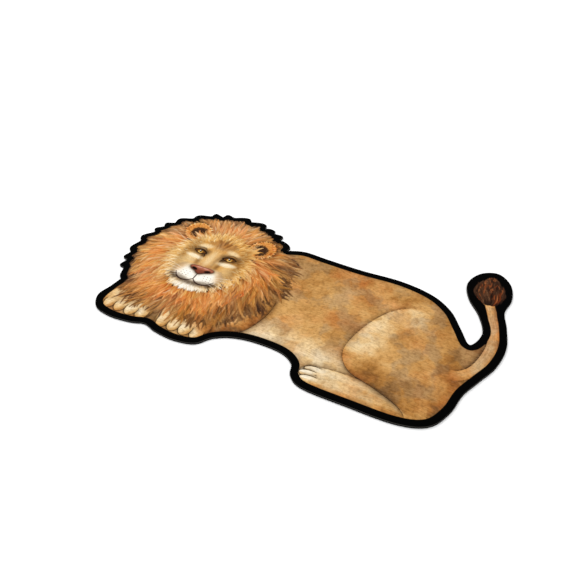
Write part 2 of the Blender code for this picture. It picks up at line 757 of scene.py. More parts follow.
# --------------------------------------------------------------------------- the lion's parts
class Toe(NamedTuple):
    """One toe as a turned oval, in mm and degrees, of which only the front is drawn."""

    x: float
    y: float
    long: float
    thick: float
    turn: float

    def paint(self, canvas: Canvas) -> None:
        """Paints the front of the toe and its line.

        Args:
            canvas: Where to paint.
        """
        turn = math.radians(self.turn)
        around = np.linspace(0.0, 2.0 * math.pi, 32, endpoint=False)
        u, v = self.long * np.cos(around), self.thick * np.sin(around)
        ring = np.stack([u * math.cos(turn) - v * math.sin(turn),
                         u * math.sin(turn) + v * math.cos(turn)], -1) + (self.x, self.y)
        places = canvas.within(ring.min(0) - 10.0, ring.max(0) + 10.0)
        x, y = canvas.x[places], canvas.y[places]
        way, signed = against_edge(x, y, ring)
        along = (x - self.x) * math.cos(turn) + (y - self.y) * math.sin(turn)
        front = ease(-0.8 * self.long, 0.25 * self.long, along)
        canvas.shade(places, np.where(signed > 0.0, 0.0, 0.45 * np.exp(signed / 4.0)) * front)
        depth = np.clip(signed, 0.0, None)
        tone = 0.84 + 0.30 * lit(way, depth, 0.9 * self.thick) - 0.12 * np.exp(-depth / 2.5)
        colour = coat_colour(x, y, tone, 0.0, 0.0)
        cover = ease(-1.0, 1.0, signed) * front
        canvas.lay_shape(places, colour, cover, signed - 9.0 * (1.0 - front))
        canvas.draw(places, signed, 1.25 * ease(0.25, 0.7, front))


PAW_HALF = (
    ("top", 0.0, -176.0), ("wrist", 60.0, -204.0), ("side", 84.0, -262.0), ("toe", 74.0, -316.0),
    ("sole", 40.0, -336.0),
)


def front_paw(middle: float) -> Form:
    """A forepaw that faces forward, the same on both sides.

    Args:
        middle: Where its middle line is, in mm.

    Returns:
        The paw.
    """
    other = tuple((name + ", left", -x, y) for name, x, y in PAW_HALF[:0:-1])
    edge = tuple((name, middle + x, y) for name, x, y in PAW_HALF + other)
    pale = (Spot(middle, -300.0, 80.0, 60.0, 0.12),)
    return Form(edge, rounding=34.0, tone=0.64, smoke=0.2, tones=pale, glow=0.30)


def front_toes(middle: float) -> tuple[Toe, ...]:
    """The four toes of a forepaw that faces forward, the outer ones first."""
    return tuple(Toe(middle + aside, -290.0, 28.0, 20.0, -90.0) for aside in (-56, 56, -19, 19))


@dataclass
class Body:
    """The lion's body: a long torso, one folded hind leg, a raised tail and two paws in front."""

    torso: Form = Form(
        edge=(
            ("neck", -430, 40), ("withers", -90, 196), ("back", 90, 196), ("loin", 250, 198),
            ("hip", 380, 170), ("croup", 456, 100), ("rump", 530, 34), ("tail root", 572, -30),
            ("buttock", 565, -180), ("seat", 530, -270), ("hock", 470, -335), ("flank", 180, -335),
            ("belly", -90, -335), ("chest", -430, -290),
        ),
        rounding=70.0, tone=0.58, glow=0.10, shadow=0.0, rim_loss=0.0, smoke=0.35, ink=0.0,
        tones=(Spot(60, -230, 300, 60, 0.26), Spot(120, 130, 320, 60, -0.08)),
    )
    hind_foot: Form = Form(
        edge=(
            ("toes, tip", 128, -300), ("toes, top", 146, -266), ("instep", 206, -252),
            ("shank", 290, -250), ("hock, top", 400, -262), ("heel", 500, -290),
            ("heel, low", 496, -330), ("sole", 320, -336), ("ball", 200, -338),
            ("toes, low", 146, -332),
        ),
        rounding=30.0, tone=0.68, shadow=0.6, smoke=0.2, tones=(Spot(150, -290, 90, 60, 0.12),),
    )
    haunch: Form = Form(
        edge=(
            ("knee", 206, -170), ("thigh, front", 222, -70), ("thigh, top", 270, 30),
            ("hip", 350, 84), ("croup", 430, 70), ("rump", 496, -10), ("buttock", 530, -130),
            ("seat", 536, -250), ("hock", 506, -352), ("heel", 452, -350), ("shank, rear", 408, -296),
            ("shank", 330, -262), ("knee, low", 246, -234),
        ),
        rounding=84.0, tone=0.57, rust=0.06, smoke=0.4, glow=0.34, shadow=0.62,
        drawn=("heel", "hip"), tones=(Spot(240, -110, 46, 110, 0.14),),
    )
    shoulder: Form = Form(
        edge=(
            ("front", -240, -60), ("top", -160, 20), ("shoulder, back", -64, -20),
            ("arm, back", -40, -120), ("elbow", -62, -214), ("elbow, low", -100, -256),
            ("wrist", -160, -300), ("inner", -250, -240),
        ),
        rounding=44.0, tone=0.60, shadow=0.5, smoke=0.4, glow=0.30,
        drawn=("shoulder, back", "wrist"),
    )
    hind_toes: tuple[Toe, ...] = (
        Toe(172, -274, 32, 14, 180), Toe(166, -291, 34, 14, 180), Toe(174, -308, 34, 14, 180),
    )
    paw_middles: tuple[float, float] = (-424.0, -238.0)
    tail: tuple[tuple[float, float], ...] = (
        (452, -130), (500, -128), (536, -96), (555, -44), (563, 20), (557, 80), (541, 134),
        (520, 186),
    )
    tail_half: float = 15.0
    tuft_root: tuple[float, float] = (519.0, 182.0)
    tuft_axis: float = 98.0
    tuft_length: float = 84.0
    tuft_locks: int = 440

    def paint(self, canvas: Canvas, outline: Outline) -> None:
        """Paints the body from back to front.

        Args:
            canvas: Where to paint.
            outline: The rug's edge.
        """
        # The short fur lies backwards in slow waves.
        wave = 16.0 * cloud(canvas.x, canvas.y, 120.0, 303, 2)
        canvas.strand = np.stack([canvas.x, 0.5 * (canvas.y + wave)], -1)
        self.torso.paint(canvas)
        self.round_off(canvas)
        self.paint_limb(canvas, self.hind_foot, self.hind_toes)
        self.haunch.paint(canvas)
        self.paint_tail(canvas)
        self.paint_tuft(canvas, outline)
        self.shoulder.paint(canvas)
        for middle in self.paw_middles:
            self.paint_limb(canvas, front_paw(middle), front_toes(middle))

    def paint_limb(self, canvas: Canvas, limb: Form, toes: Sequence[Toe]) -> None:
        """Paints a limb and then its toes.

        Args:
            canvas: Where to paint.
            limb: The limb.
            toes: Its toes, furthest first.
        """
        limb.paint(canvas)
        for toe in toes:
            toe.paint(canvas)

    def round_off(self, canvas: Canvas) -> None:
        """Darkens the back and the belly towards the margin.

        Args:
            canvas: Where to paint.
        """
        places = np.flatnonzero((canvas.depth > BLACK_MARGIN - 3.0) & (canvas.x > -170.0))
        depth = np.clip(canvas.depth[places] - BLACK_MARGIN, 0.0, None)
        on_back = canvas.y[places] > 0.0
        back, belly = 0.16 * np.exp(-depth / 12.0), 0.16 * np.exp(-depth / 9.0)
        canvas.shade(places, np.where(on_back, back, belly))

    def paint_tail(self, canvas: Canvas) -> None:
        """Paints the tail, which rises from the rump.

        Args:
            canvas: Where to paint.
        """
        path = smooth_path(self.tail, 8, False)
        places = canvas.within(path.min(0) - 3.0 * self.tail_half, path.max(0) + 3.0 * self.tail_half)
        x, y = canvas.x[places], canvas.y[places]
        way = nearest(x, y, path, False)
        half = self.tail_half * (1.2 - 0.25 * way.along)
        signed = half - way.distance
        root = ease(0.0, 0.28, way.along)
        shadow = 0.55 * np.exp(np.clip(signed, None, 0.0) / 7.0) * root
        canvas.shade(places, np.where(signed < 0.0, shadow, 0.0))
        across = np.clip(way.distance * way.side / half, -1.0, 1.0)
        streaks = noise(across * half, way.along * 60.0, 3.0, 44)
        tone = 0.40 + 0.24 * np.sqrt(1.0 - across**2) + 0.10 * across + 0.05 * streaks
        cover = ease(-1.2, 1.2, signed) * root
        shape = np.where(root > 0.5, signed, canvas.BARE)
        fur = coat_colour(x, y, tone, 0.15 + 0.3 * way.along, 0.4)
        canvas.lay_shape(places, fur, cover, shape)
        canvas.draw(places, signed, 1.0 * ease(0.3, 0.9, root))
        length = np.hypot(*np.diff(path, axis=0).T).sum()
        combed = np.stack([way.along * length, 0.5 * across * half], -1)
        canvas.strand[places[cover > 0.5]] = combed[cover > 0.5]

    def paint_tuft(self, canvas: Canvas, outline: Outline) -> None:
        """Paints the dark tuft that ends the tail.

        Args:
            canvas: Where to paint.
            outline: The rug's edge.
        """
        rng = np.random.default_rng(5)
        hair = Hair(length=62.0, width=5.5, contrast=0.22, root_loss=0.14, soft=1.0)
        axis = math.radians(self.tuft_axis)
        up = np.array([math.cos(axis), math.sin(axis)])
        left = np.array([-math.sin(axis), math.cos(axis)])
        for share in np.sort(rng.uniform(0.0, 1.0, self.tuft_locks))[::-1]:
            aside = rng.uniform(-1.0, 1.0)
            spread = (9.0 + 34.0 * math.sin(math.pi * (0.04 + 0.80 * share))) * aside
            root = np.array(self.tuft_root) + self.tuft_length * share * up + spread * left
            lock = Lock(
                root, axis + 0.55 * aside * (1.0 - 1.5 * share) + rng.normal(0.0, 0.08),
                hair.length * rng.uniform(0.7, 1.2), hair.width * rng.uniform(0.7, 1.3),
                rng.normal(0.0, 0.12) - 0.5 * aside, int(rng.integers(1, 9999)),
            )
            red = 0.55 if rng.uniform() > 0.84 else 0.0
            tone = 0.36 + rng.normal(0.0, 0.09) + 0.07 * aside
            if lock.keep_within(outline, BLACK_MARGIN + rng.uniform(-4.0, 4.0)):
                lock.paint(canvas, hair, tone, ((Dye.UMBER, 1.0), (Dye.RUST, red)))
        tuft = np.flatnonzero((canvas.hair > 0.0) & (canvas.x > 0.0))
        canvas.strand[tuft] = np.stack([canvas.y[tuft], canvas.x[tuft]], -1)


class Ring(NamedTuple):
    """One ring of the mane: how far out its roots are, from 0 at the face to 1, and its locks."""

    share: float
    locks: int
    length: float
    width: float


@dataclass
class Mane:
    """The mane, painted in rings of locks from the outside in, over the shoulders and ears.

    Attributes:
        middle: The point that it grows around.
        radius: How far it reaches, in mm.
        over_paws: How much shorter it is straight below, in mm.
        face: How far the face reaches sideways, up and down, in mm.
        rings: The rings, outermost first.
        ears_before: Which ring is the first to lie over the ears.
    """

    middle: tuple[float, float] = (-322.0, -8.0)
    radius: float = 246.0
    over_paws: float = 38.0
    face: tuple[float, float, float] = (108.0, 104.0, 138.0)
    rings: tuple[Ring, ...] = (
        Ring(0.97, 150, 44, 9), Ring(0.90, 140, 62, 10), Ring(0.80, 136, 80, 11),
        Ring(0.70, 128, 92, 11), Ring(0.60, 120, 98, 12), Ring(0.50, 112, 98, 12),
        Ring(0.40, 104, 94, 12), Ring(0.30, 96, 86, 11), Ring(0.21, 90, 74, 11),
        Ring(0.12, 84, 60, 10), Ring(0.03, 80, 44, 9),
    )
    ears_before: int = 9

    HAIR_TURN = 0.62
    COMB_SCALE = 220.0

    def paint(self, canvas: Canvas, outline: Outline, head: Head) -> None:
        """Paints the mane and, between its rings, the ears.

        Args:
            canvas: Where to paint.
            outline: The rug's edge.
            head: Whose ears it hides in part.
        """
        rng = np.random.default_rng(7)
        self.paint_ground(canvas)
        for number, ring in enumerate(self.rings):
            if number == self.ears_before:
                head.paint_ears(canvas)
            thick = Hair(ring.length, ring.width)
            fine = Hair(0.85 * ring.length, 4.4, 0.10, 0.10, 0.10, 1.2, 0.75, 0.12)
            for place in rng.permutation(ring.locks):
                step = place + 0.5 * (number % 2) + rng.uniform(-0.4, 0.4)
                share = ring.share + rng.uniform(-0.06, 0.06)
                self.paint_lock(canvas, outline, thick, share, step * 360.0 / ring.locks, rng)
            for _ in range(2 * ring.locks):
                direction = rng.uniform(0.0, 360.0)
                share = ring.share + rng.uniform(-0.08, 0.10)
                self.paint_lock(canvas, outline, fine, share, direction, rng)
        self.comb(canvas)

    def outer(self, direction: Array) -> Array:
        """How far the mane reaches in a direction in degrees."""
        from_below = np.mod(direction - 90.0, 360.0) - 180.0
        return self.radius - self.over_paws * np.exp(-((from_below / 36.0) ** 2))

    def inner(self, direction: float) -> float:
        """How far the face reaches in a direction in degrees."""
        turn = math.radians(direction)
        tall = self.face[1] if math.sin(turn) > 0.0 else self.face[2]
        return 1.0 / math.hypot(math.cos(turn) / self.face[0], math.sin(turn) / tall)

    def paint_ground(self, canvas: Canvas) -> None:
        """Paints the dark depth under the locks.

        Args:
            canvas: Where to paint.
        """
        from_x, from_y = canvas.x - self.middle[0], canvas.y - self.middle[1]
        radius, direction = np.hypot(from_x, from_y), np.degrees(np.arctan2(from_y, from_x))
        ragged = radius + 8.0 * noise(direction * 2.2, radius * 0.2, 6.0, 3)
        signed = np.minimum(self.outer(direction) - 34.0 - ragged, canvas.depth - BLACK_MARGIN - 4.0)
        places = np.flatnonzero(signed > -8.0)
        signed = signed[places]
        tone = 0.24 + 0.08 * cloud(canvas.x[places], canvas.y[places], 20.0, 5)
        canvas.lay_shape(places, Dye.UMBER.at(tone), ease(-6.0, 8.0, signed), signed)
        canvas.hair[places[signed > 0.0]] = 1.0

    def comb(self, canvas: Canvas) -> None:
        """Works out how the strands lie in the mane: outwards, and falling on both sides.

        Args:
            canvas: Whose strands to comb.
        """
        places = np.flatnonzero((canvas.hair > 0.0) & (canvas.x < 0.0))
        from_x = np.abs(canvas.x[places] - self.middle[0])
        from_y = canvas.y[places] - self.middle[1]
        radius = np.maximum(np.hypot(from_x, from_y), 20.0)
        angle = np.arctan2(from_x, from_y)
        twist = np.tan(self.HAIR_TURN * np.sin(angle)) * np.log(radius / self.COMB_SCALE)
        wave = 7.0 * cloud(canvas.x[places], canvas.y[places], 44.0, 171, 2)
        across = (angle - twist) * self.COMB_SCALE + wave
        canvas.strand[places] = np.stack([radius, across], -1)

    def dyes_at(self, place: Array, share: float, rng: np.random.Generator) -> tuple:
        """What the mane's hair is dyed with at a place.

        Args:
            place: The place, in mm.
            share: How far out it is, from 0 at the face to 1.
            rng: Gives what differs from lock to lock.

        Returns:
            The tone, and the dyes with their shares.
        """
        x, y = place[:1], place[1:2]
        patch, small = float(cloud(x, y, 80.0, 143, 3)[0]), noise_at(place, 24.0, 151)
        red = 0.06 + 0.60 * math.exp(-(((share - 0.50) / 0.24) ** 2)) + 0.20 * patch + 0.16 * small
        dark = 0.95 * float(ease(0.56, 1.02, np.array(share))) + 0.14 * patch + 0.16 * small
        smoke = 0.06 + 0.20 * noise_at(place, 60.0, 157) + 0.10 * small
        light = float((place - self.middle) @ LIGHT[:2]) / 260.0
        tone = 0.62 + 0.07 * patch + 0.09 * light - 0.13 * share - 0.04 * max(0.0, dark)
        red, dark, smoke = (
            float(np.clip(value + rng.normal(0.0, 0.13), 0.0, 1.0)) for value in (red, dark, smoke)
        )
        return tone, ((Dye.GOLD, 1.0), (Dye.RUST, red), (Dye.SMOKE, smoke), (Dye.UMBER, dark))

    def paint_lock(
        self, canvas: Canvas, outline: Outline, hair: Hair, share: float, direction: float,
        rng: np.random.Generator,
    ) -> None:
        """Paints one lock, which lies outwards and falls with its neighbours.

        Args:
            canvas: Where to paint.
            outline: The rug's edge, whose margin the tips keep off.
            hair: The kind of hair.
            share: How far out its root is, from 0 at the face to 1.
            direction: Where its root is round the middle, in degrees.
            rng: Gives what differs from lock to lock.
        """
        turn = math.radians(direction)
        inner, outer = self.inner(direction), float(self.outer(direction))
        middle = np.array(self.middle)
        out = np.array([math.cos(turn), math.sin(turn)])
        root = middle + (inner + (outer - inner) * share) * out
        fall = -self.HAIR_TURN * out[0] * (1.0 if out[1] > -0.75 else 0.35)
        tuft = 0.46 * noise_at(root, 44.0, 61) + 0.22 * noise_at(root, 18.0, 67)
        reach = min(1.0, 0.35 + (outer - inner) / 130.0)
        lock = Lock(
            root, turn + fall + tuft + rng.normal(0.0, 0.10),
            reach * hair.length * rng.uniform(0.8, 1.3), hair.width * rng.uniform(0.7, 1.3),
            rng.normal(0.0, 0.30) - 0.35 * out[0], int(rng.integers(1, 9999)),
        )
        if not lock.keep_within(outline, BLACK_MARGIN + rng.uniform(-4.0, 4.0)):
            return
        tip = lock.path()[-1]
        tip_share = (np.hypot(*(tip - middle)) - inner) / max(outer - inner, 1.0)
        out_share = 0.5 * (share + min(1.0, tip_share))
        tone, dyes = self.dyes_at(0.4 * root + 0.6 * tip, out_share, rng)
        lock.paint(canvas, hair, tone + rng.normal(0.0, hair.jitter), dyes)


@dataclass
class Head:
    """The lion's face, upright and the same on both sides, and its ears.

    Places on it are in mm from the point between the eyes, u to the viewer's right and v up.
    The eyes are three eighths of the way down the face, the nose ends at three quarters.
    """

    middle: tuple[float, float] = (-322.0, 34.0)
    reach: float = 260.0
    eye: tuple[float, float] = (54.0, -2.0)
    eye_slant: float = 7.0
    eye_half: float = 20.0
    ear: tuple[float, float] = (122.0, 92.0)
    ear_size: tuple[float, float] = (44.0, 44.0)
    ear_fringe: int = 72
    ear_tufts: int = 9
    skull_middle: float = -32.0
    skull_half: tuple[float, float] = (118.0, 138.0)
    ruff_locks: int = 620
    chin_locks: int = 90
    whiskers: int = 5

    def to_rug(self, u: float, v: float) -> tuple[float, float]:
        """A place on the head as a place on the rug."""
        return self.middle[0] + u, self.middle[1] + v

    def lock(
        self, root: tuple[float, float], way: tuple[float, float], hair: Hair,
        rng: np.random.Generator,
    ) -> Lock:
        """A lock of hair on the head.

        Args:
            root: Where it grows from, as (u, v).
            way: Its direction, as (u, v).
            hair: The kind of hair.
            rng: Gives what differs from lock to lock.

        Returns:
            The lock, placed on the rug.
        """
        turn = math.atan2(way[1], way[0]) + rng.normal(0.0, 0.14)
        length, width = hair.length * rng.uniform(0.7, 1.25), hair.width * rng.uniform(0.7, 1.3)
        seed = int(rng.integers(1, 9999))
        return Lock(np.array(self.to_rug(*root)), turn, length, width, rng.normal(0.0, 0.3), seed)

    def paint_ears(self, canvas: Canvas) -> None:
        """Paints both ears.

        Args:
            canvas: Where to paint.
        """
        rng = np.random.default_rng(900)
        for side in (-1, 1):
            self.paint_ear(canvas, side, rng)

    def paint_ear(self, canvas: Canvas, side: int, rng: np.random.Generator) -> None:
        """Paints one round ear with its dark hollow and pale tufts.

        Args:
            canvas: Where to paint.
            side: -1 for the viewer's left, 1 for the right.
            rng: Gives what differs from tuft to tuft.
        """
        around = np.linspace(0.0, 2.0 * math.pi, 40, endpoint=False)
        wide, tall = self.ear_size
        ring = np.array([
            self.to_rug(side * (self.ear[0] + wide * math.cos(a)),
                        self.ear[1] + tall * math.sin(a) + 6.0 * math.cos(a))
            for a in around
        ])
        places = canvas.within(ring.min(0) - 16.0, ring.max(0) + 16.0)
        x, y = canvas.x[places], canvas.y[places]
        way, signed = against_edge(x, y, ring)
        canvas.shade(places, np.where(signed > 0.0, 0.0, 0.7 * np.exp(signed / 7.0)))
        depth = np.clip(signed, 0.0, None)
        middle = ring.mean(0)
        hair = noise(np.arctan2(y - middle[1], x - middle[0]) * 40.0, depth * 0.3, 2.0, 88)
        tone = 0.52 + 0.30 * lit(way, depth, 14.0) + 0.10 * hair
        fur = blend(Dye.RUST.at(tone), Dye.GOLD.at(tone), 0.70)
        canvas.lay_shape(places, fur, ease(-1.2, 1.2, signed), signed)
        hollow_x, hollow_y = self.to_rug(side * (self.ear[0] - 7.0), self.ear[1] - 7.0)
        hollow = np.hypot((x - hollow_x) / 29.0, (y - hollow_y) / 30.0) + 0.12 * hair
        canvas.lay(places, Dye.UMBER.at(0.34 + 0.08 * hair), 0.92 * ease(1.15, 0.80, hollow))
        fringe = Hair(length=13.0, width=4.6, contrast=0.20, root_loss=0.20, soft=1.0)
        for a in rng.permutation(np.linspace(0.0, 2.0 * math.pi, self.ear_fringe, endpoint=False)):
            reach = rng.uniform(0.70, 0.88)
            root = (side * (self.ear[0] + reach * wide * math.cos(a)),
                    self.ear[1] + reach * tall * math.sin(a))
            lock = self.lock(root, (side * math.cos(a), math.sin(a)), fringe, rng)
            dyes = ((Dye.GOLD, 1.0), (Dye.RUST, rng.uniform(0.0, 0.7)))
            lock.paint(canvas, fringe, 0.60 + rng.normal(0.0, 0.09), dyes)
        tuft = Hair(length=18.0, width=3.4, contrast=0.18, root_loss=0.25, soft=1.0)
        for _ in range(self.ear_tufts):
            root = (side * (self.ear[0] - 38.0 + rng.uniform(-4.0, 4.0)),
                    self.ear[1] - 28.0 + rng.uniform(-6.0, 30.0))
            lock = self.lock(root, (side * 22.0, 14.0 + rng.uniform(-10.0, 10.0)), tuft, rng)
            dyes = ((Dye.GOLD, 1.0), (Dye.RUST, rng.uniform(0.0, 0.5)))
            lock.paint(canvas, tuft, 0.70 + rng.normal(0.0, 0.08), dyes)

    def paint_face(self, canvas: Canvas) -> None:
        """Paints the face from its broad planes to its whiskers.

        Args:
            canvas: Where to paint.
        """
        brush = FaceBrush(canvas, self)
        self.paint_skull(brush)
        self.paint_ruff(canvas)
        self.paint_planes(brush)
        self.paint_muzzle(brush)
        self.paint_chin(canvas)
        self.paint_mouth(brush)
        self.paint_nose(brush)
        self.paint_eyes(brush)
        self.paint_whiskers(brush)

    def paint_skull(self, brush: FaceBrush) -> None:
        """Paints the short fur of the whole face.

        Args:
            brush: Paints on the face.
        """
        tone = 0.60 + 0.12 * brush.hair + 0.07 * brush.patches - 0.0006 * brush.u
        fur = blend(Dye.GOLD.at(tone), Dye.COAT.at(tone), 0.45)
        fur = blend(fur, Dye.SMOKE.at(tone), 0.35 * ease(0.0, 0.6, brush.patches))
        skull = brush.oval(0, self.skull_middle, *self.skull_half, 0, 0.10, 0.07)
        brush.lay(fur, skull)
        brush.canvas.strand[brush.places[skull > 0.5]] = brush.flow[skull > 0.5]
        brush.shade(0.18 * brush.oval(0, 78, 70, 40, 0, 0.6, 0.12))
        brush.tint("#B0642C", 0.35 * brush.oval(0, 74, 34, 40, 0, 0.7, 0.2))

    def paint_ruff(self, canvas: Canvas) -> None:
        """Paints the shorter hair that joins the face to the mane.

        Args:
            canvas: Where to paint.
        """
        rng = np.random.default_rng(21)
        hair = Hair(length=26.0, width=5.2, contrast=0.20, root_loss=0.10, soft=1.2, cover=0.85)
        # Its roots lie just within the edge of the short fur.
        wide, tall = (half - 2.0 for half in self.skull_half)
        for _ in range(self.ruff_locks):
            turn, share = rng.uniform(0.0, 2.0 * math.pi), rng.uniform(0.76, 1.02)
            u = wide * share * math.cos(turn)
            v = self.skull_middle + tall * share * math.sin(turn)
            if abs(u) < 38.0 and v < -122.0:
                continue
            low = max(0.0, -math.sin(turn))
            way = (u, 0.75 * (v + 60.0) - 34.0 * (1.0 - max(0.0, math.sin(turn))))
            lock = self.lock((u, v), way, hair, rng)
            tone = 0.64 + 0.10 * low + rng.normal(0.0, 0.07) - 0.05 * u / wide
            dyes = ((Dye.GOLD, 1.0), (Dye.COAT, rng.uniform(0.0, 0.6)), (Dye.WHITE, 0.30 * low))
            lock.paint(canvas, hair, tone, dyes)

    def paint_planes(self, brush: FaceBrush) -> None:
        """Paints the forehead's marks, the brows, the temples, the cheeks and the bridge.

        Args:
            brush: Paints on the face.
        """
        for aside, loss in ((0, 0.24), (17, 0.20)):
            brush.shade(loss * brush.oval(aside, 66, 4.0, 26, -16 - aside * 0.4, 0.8, 0.5))
        brush.shade(0.18 * brush.oval(90, 20, 18, 42, 6, 0.7, 0.15))
        brush.shade(0.20 * brush.oval(90, -60, 16, 42, -14, 0.8, 0.25))
        brush.tint("#F0DDB6", 0.66 * brush.oval(51, 31, 22, 11, -12, 0.55, 0.30))
        brush.shade(0.44 * brush.oval(54, 0, 33, 19, 7, 0.55, 0.05))
        brush.shade(0.32 * brush.oval(30, -8, 9, 20, 16, 0.7))
        brush.shade(0.30 * brush.oval(35, -44, 8, 36, -3, 0.8, 0.10))
        bridge = brush.oval(0, -32, 28, 58, 0, 0.45, 0.14)
        brush.lay(Dye.COAT.at(0.68 + 0.10 * brush.hair), 0.80 * bridge)
        brush.tint("#A76C38", 0.50 * brush.oval(0, -66, 30, 12, 0, 0.7, 0.1))
        brush.tint("#F3DFB6", 0.50 * brush.oval(-5, -30, 9, 36, 0, 0.8, 0.2, paired=False))
        brush.shade(0.16 * brush.oval(19, -30, 6, 38, 0, 0.8, 0.2, paired=False))
        brush.tint("#F6E8CA", 0.86 * brush.oval(59, -30, 29, 10, 6, 0.5, 0.30))
        brush.tint("#E9CB93", 0.50 * brush.oval(73, -60, 20, 26, 22, 0.6, 0.35))
        brush.shade(0.28 * brush.oval(72, -92, 9, 24, 30, 0.7, 0.2))

    def paint_muzzle(self, brush: FaceBrush) -> None:
        """Paints the whisker pads, which melt upwards into the face.

        Args:
            brush: Paints on the face.
        """
        brush.shade(0.50 * brush.oval(35, -128, 46, 32, 4, 0.25, 0.1))
        cream = 0.72 + 0.10 * brush.hair
        brush.lay(Dye.WHITE.at(cream - 0.14), brush.oval(0, -158, 54, 26, 0, 0.30, 0.14))
        brush.lay(Dye.WHITE.at(cream), 0.85 * brush.oval(34, -104, 45, 34, 6, 0.40, 0.16))
        tone = 0.86 + 0.10 * brush.hair - 0.10 * ease(34.0, 72.0, np.abs(brush.u))
        brush.lay(Dye.WHITE.at(tone), brush.oval(33, -116, 40, 29, 4, 0.22, 0.10))
        brush.tint("#FFFDF6", 0.6 * brush.oval(27, -110, 20, 14, 4, 0.8, 0.1))
        brush.shade(0.34 * brush.oval(46, -138, 34, 9, 10, 0.7))
        brush.tint("#C79257", 0.45 * brush.oval(70, -100, 11, 22, 18, 0.8, 0.2))
        for row in range(3):
            for column in range(3):
                u, v = 26 + 12.0 * column + 2.0 * row, -106 - 9.0 * row - 1.0 * column
                brush.tint("#4A3228", 0.65 * brush.oval(u, v, 1.8, 1.4, 0, 0.6))

    def paint_chin(self, canvas: Canvas) -> None:
        """Paints the pale hair of the chin, longest at its tip.

        Args:
            canvas: Where to paint.
        """
        rng = np.random.default_rng(33)
        hair = Hair(length=24.0, width=5.0, contrast=0.16, root_loss=0.16, soft=1.2)
        for place in rng.permutation(self.chin_locks):
            aside = 2.0 * place / (self.chin_locks - 1) - 1.0
            root = (48.0 * aside, -148.0 - 20.0 * (1.0 - aside**2) * rng.uniform(0.0, 1.0))
            lock = self.lock(root, (0.9 * aside, -1.0), hair, rng)
            tone = 0.84 - 0.16 * abs(aside) + rng.normal(0.0, 0.06)
            lock.paint(canvas, hair, tone, ((Dye.WHITE, 1.0), (Dye.GOLD, 0.55 * abs(aside) ** 2)))

    def paint_mouth(self, brush: FaceBrush) -> None:
        """Paints the mouth, the cleft above it and the shadow below it.

        Args:
            brush: Paints on the face.
        """
        brush.shade(0.45 * brush.oval(0, -150, 46, 9, 0, 0.8, 0.1))
        brush.line(((0, -104), (0, -118), (0, -132)), 4.0, "#2B1712", 0.95)
        brush.line(((0, -130), (15, -143), (35, -147), (55, -138), (68, -120)), 5.0, "#2A1611", 0.92)

    def paint_nose(self, brush: FaceBrush) -> None:
        """Paints the bare skin of the nose and its nostrils.

        Args:
            brush: Paints on the face.
        """
        half = smooth_path(
            ((0, -68), (20, -67), (37, -71), (41, -79), (33, -88), (18, -95), (6, -103), (0, -105)),
            6, False,
        )
        edge = np.vstack([half, (half * (-1, 1))[::-1]])
        _, signed = against_edge(brush.u, brush.v, edge)
        outside = np.where(signed > 0.0, 0.0, np.exp(signed / 3.4))
        brush.shade(0.7 * outside * ease(-62.0, -76.0, brush.v))
        depth = np.clip(signed, 0.0, None)
        tone = 0.38 + 0.26 * ease(-90.0, -73.0, brush.v) - 0.30 * np.exp(-depth / 2.4)
        brush.lay(Dye.SKIN.at(tone + 0.05 * brush.patches), ease(-0.8, 0.8, signed))
        brush.tint("#120907", brush.oval(23, -84, 10.5, 5.0, 20, 0.25))
        brush.tint("#E9BFAE", 0.50 * brush.oval(11, -73, 11, 2.6, -4, 0.6))

    def paint_eyes(self, brush: FaceBrush) -> None:
        """Paints both eyes: dark rims, amber irises, pupils and the light in them.

        Args:
            brush: Paints on the face.
        """
        turn = math.radians(self.eye_slant)
        from_u, from_v = np.abs(brush.u) - self.eye[0], brush.v - self.eye[1]
        along = from_u * math.cos(turn) + from_v * math.sin(turn)
        up = -from_u * math.sin(turn) + from_v * math.cos(turn)
        curve = np.clip(1.0 - (along / self.eye_half) ** 2, 0.0, 1.0)
        gap = np.where(up > 0.0, 9.4 * curve**0.8 - up, 7.4 * curve**0.9 + up)
        beyond = np.clip(np.abs(along) - self.eye_half, 0.0, None)
        gap = np.where(beyond > 0.0, -np.hypot(beyond, up), gap)
        thick = np.where(up > 0.0, 4.8, 3.0) + 1.2 * ease(0.0, -self.eye_half, along)
        brush.tint("#1C110C", 0.95 * ease(-1.0, 1.2, gap + thick))
        brush.line(((37, -7), (32, -13), (29, -22)), 4.6, "#25160F", 0.8)
        ball = ease(-0.6, 0.8, gap)
        iris = np.hypot(along, up - 0.8)
        brush.tint("#A9732C", ball)
        brush.tint("#E2B863", 0.85 * ball * ease(9.0, 4.8, np.hypot(along, up + 2.8)))
        brush.tint("#5E3815", ball * ease(8.4, 10.6, iris))
        brush.tint("#0B0605", ball * ease(4.6, 3.4, iris))
        brush.tint("#2E1C10", 0.8 * ball * ease(3.0, 8.0, up))
        glint = np.hypot(along + 2.6 * np.sign(brush.u), up - 3.4)
        brush.tint("#FFFFFF", 0.9 * ball * ease(2.3, 1.2, glint))
        brush.line(((34, 7), (43, 17), (56, 21), (72, 16)), 3.4, "#2A1910", 0.55)

    def paint_whiskers(self, brush: FaceBrush) -> None:
        """Paints fine pale whiskers that fan out from both pads.

        Args:
            brush: Paints on the face.
        """
        rng = np.random.default_rng(3)
        for side in (-1, 1):
            for number in range(self.whiskers):
                u, v = 50.0 - 2.0 * number, -104.0 - 6.0 * number
                turn, length = math.radians(22.0 - 10.0 * number), rng.uniform(72.0, 96.0)
                shares = np.linspace(0.0, 1.0, 5)
                across = side * (u + shares * length * math.cos(turn))
                up = v + shares * length * math.sin(turn) - 8.0 * shares**2
                brush.line(np.stack([across, up], -1), 1.5, "#F8F1E2", 0.6, paired=False)


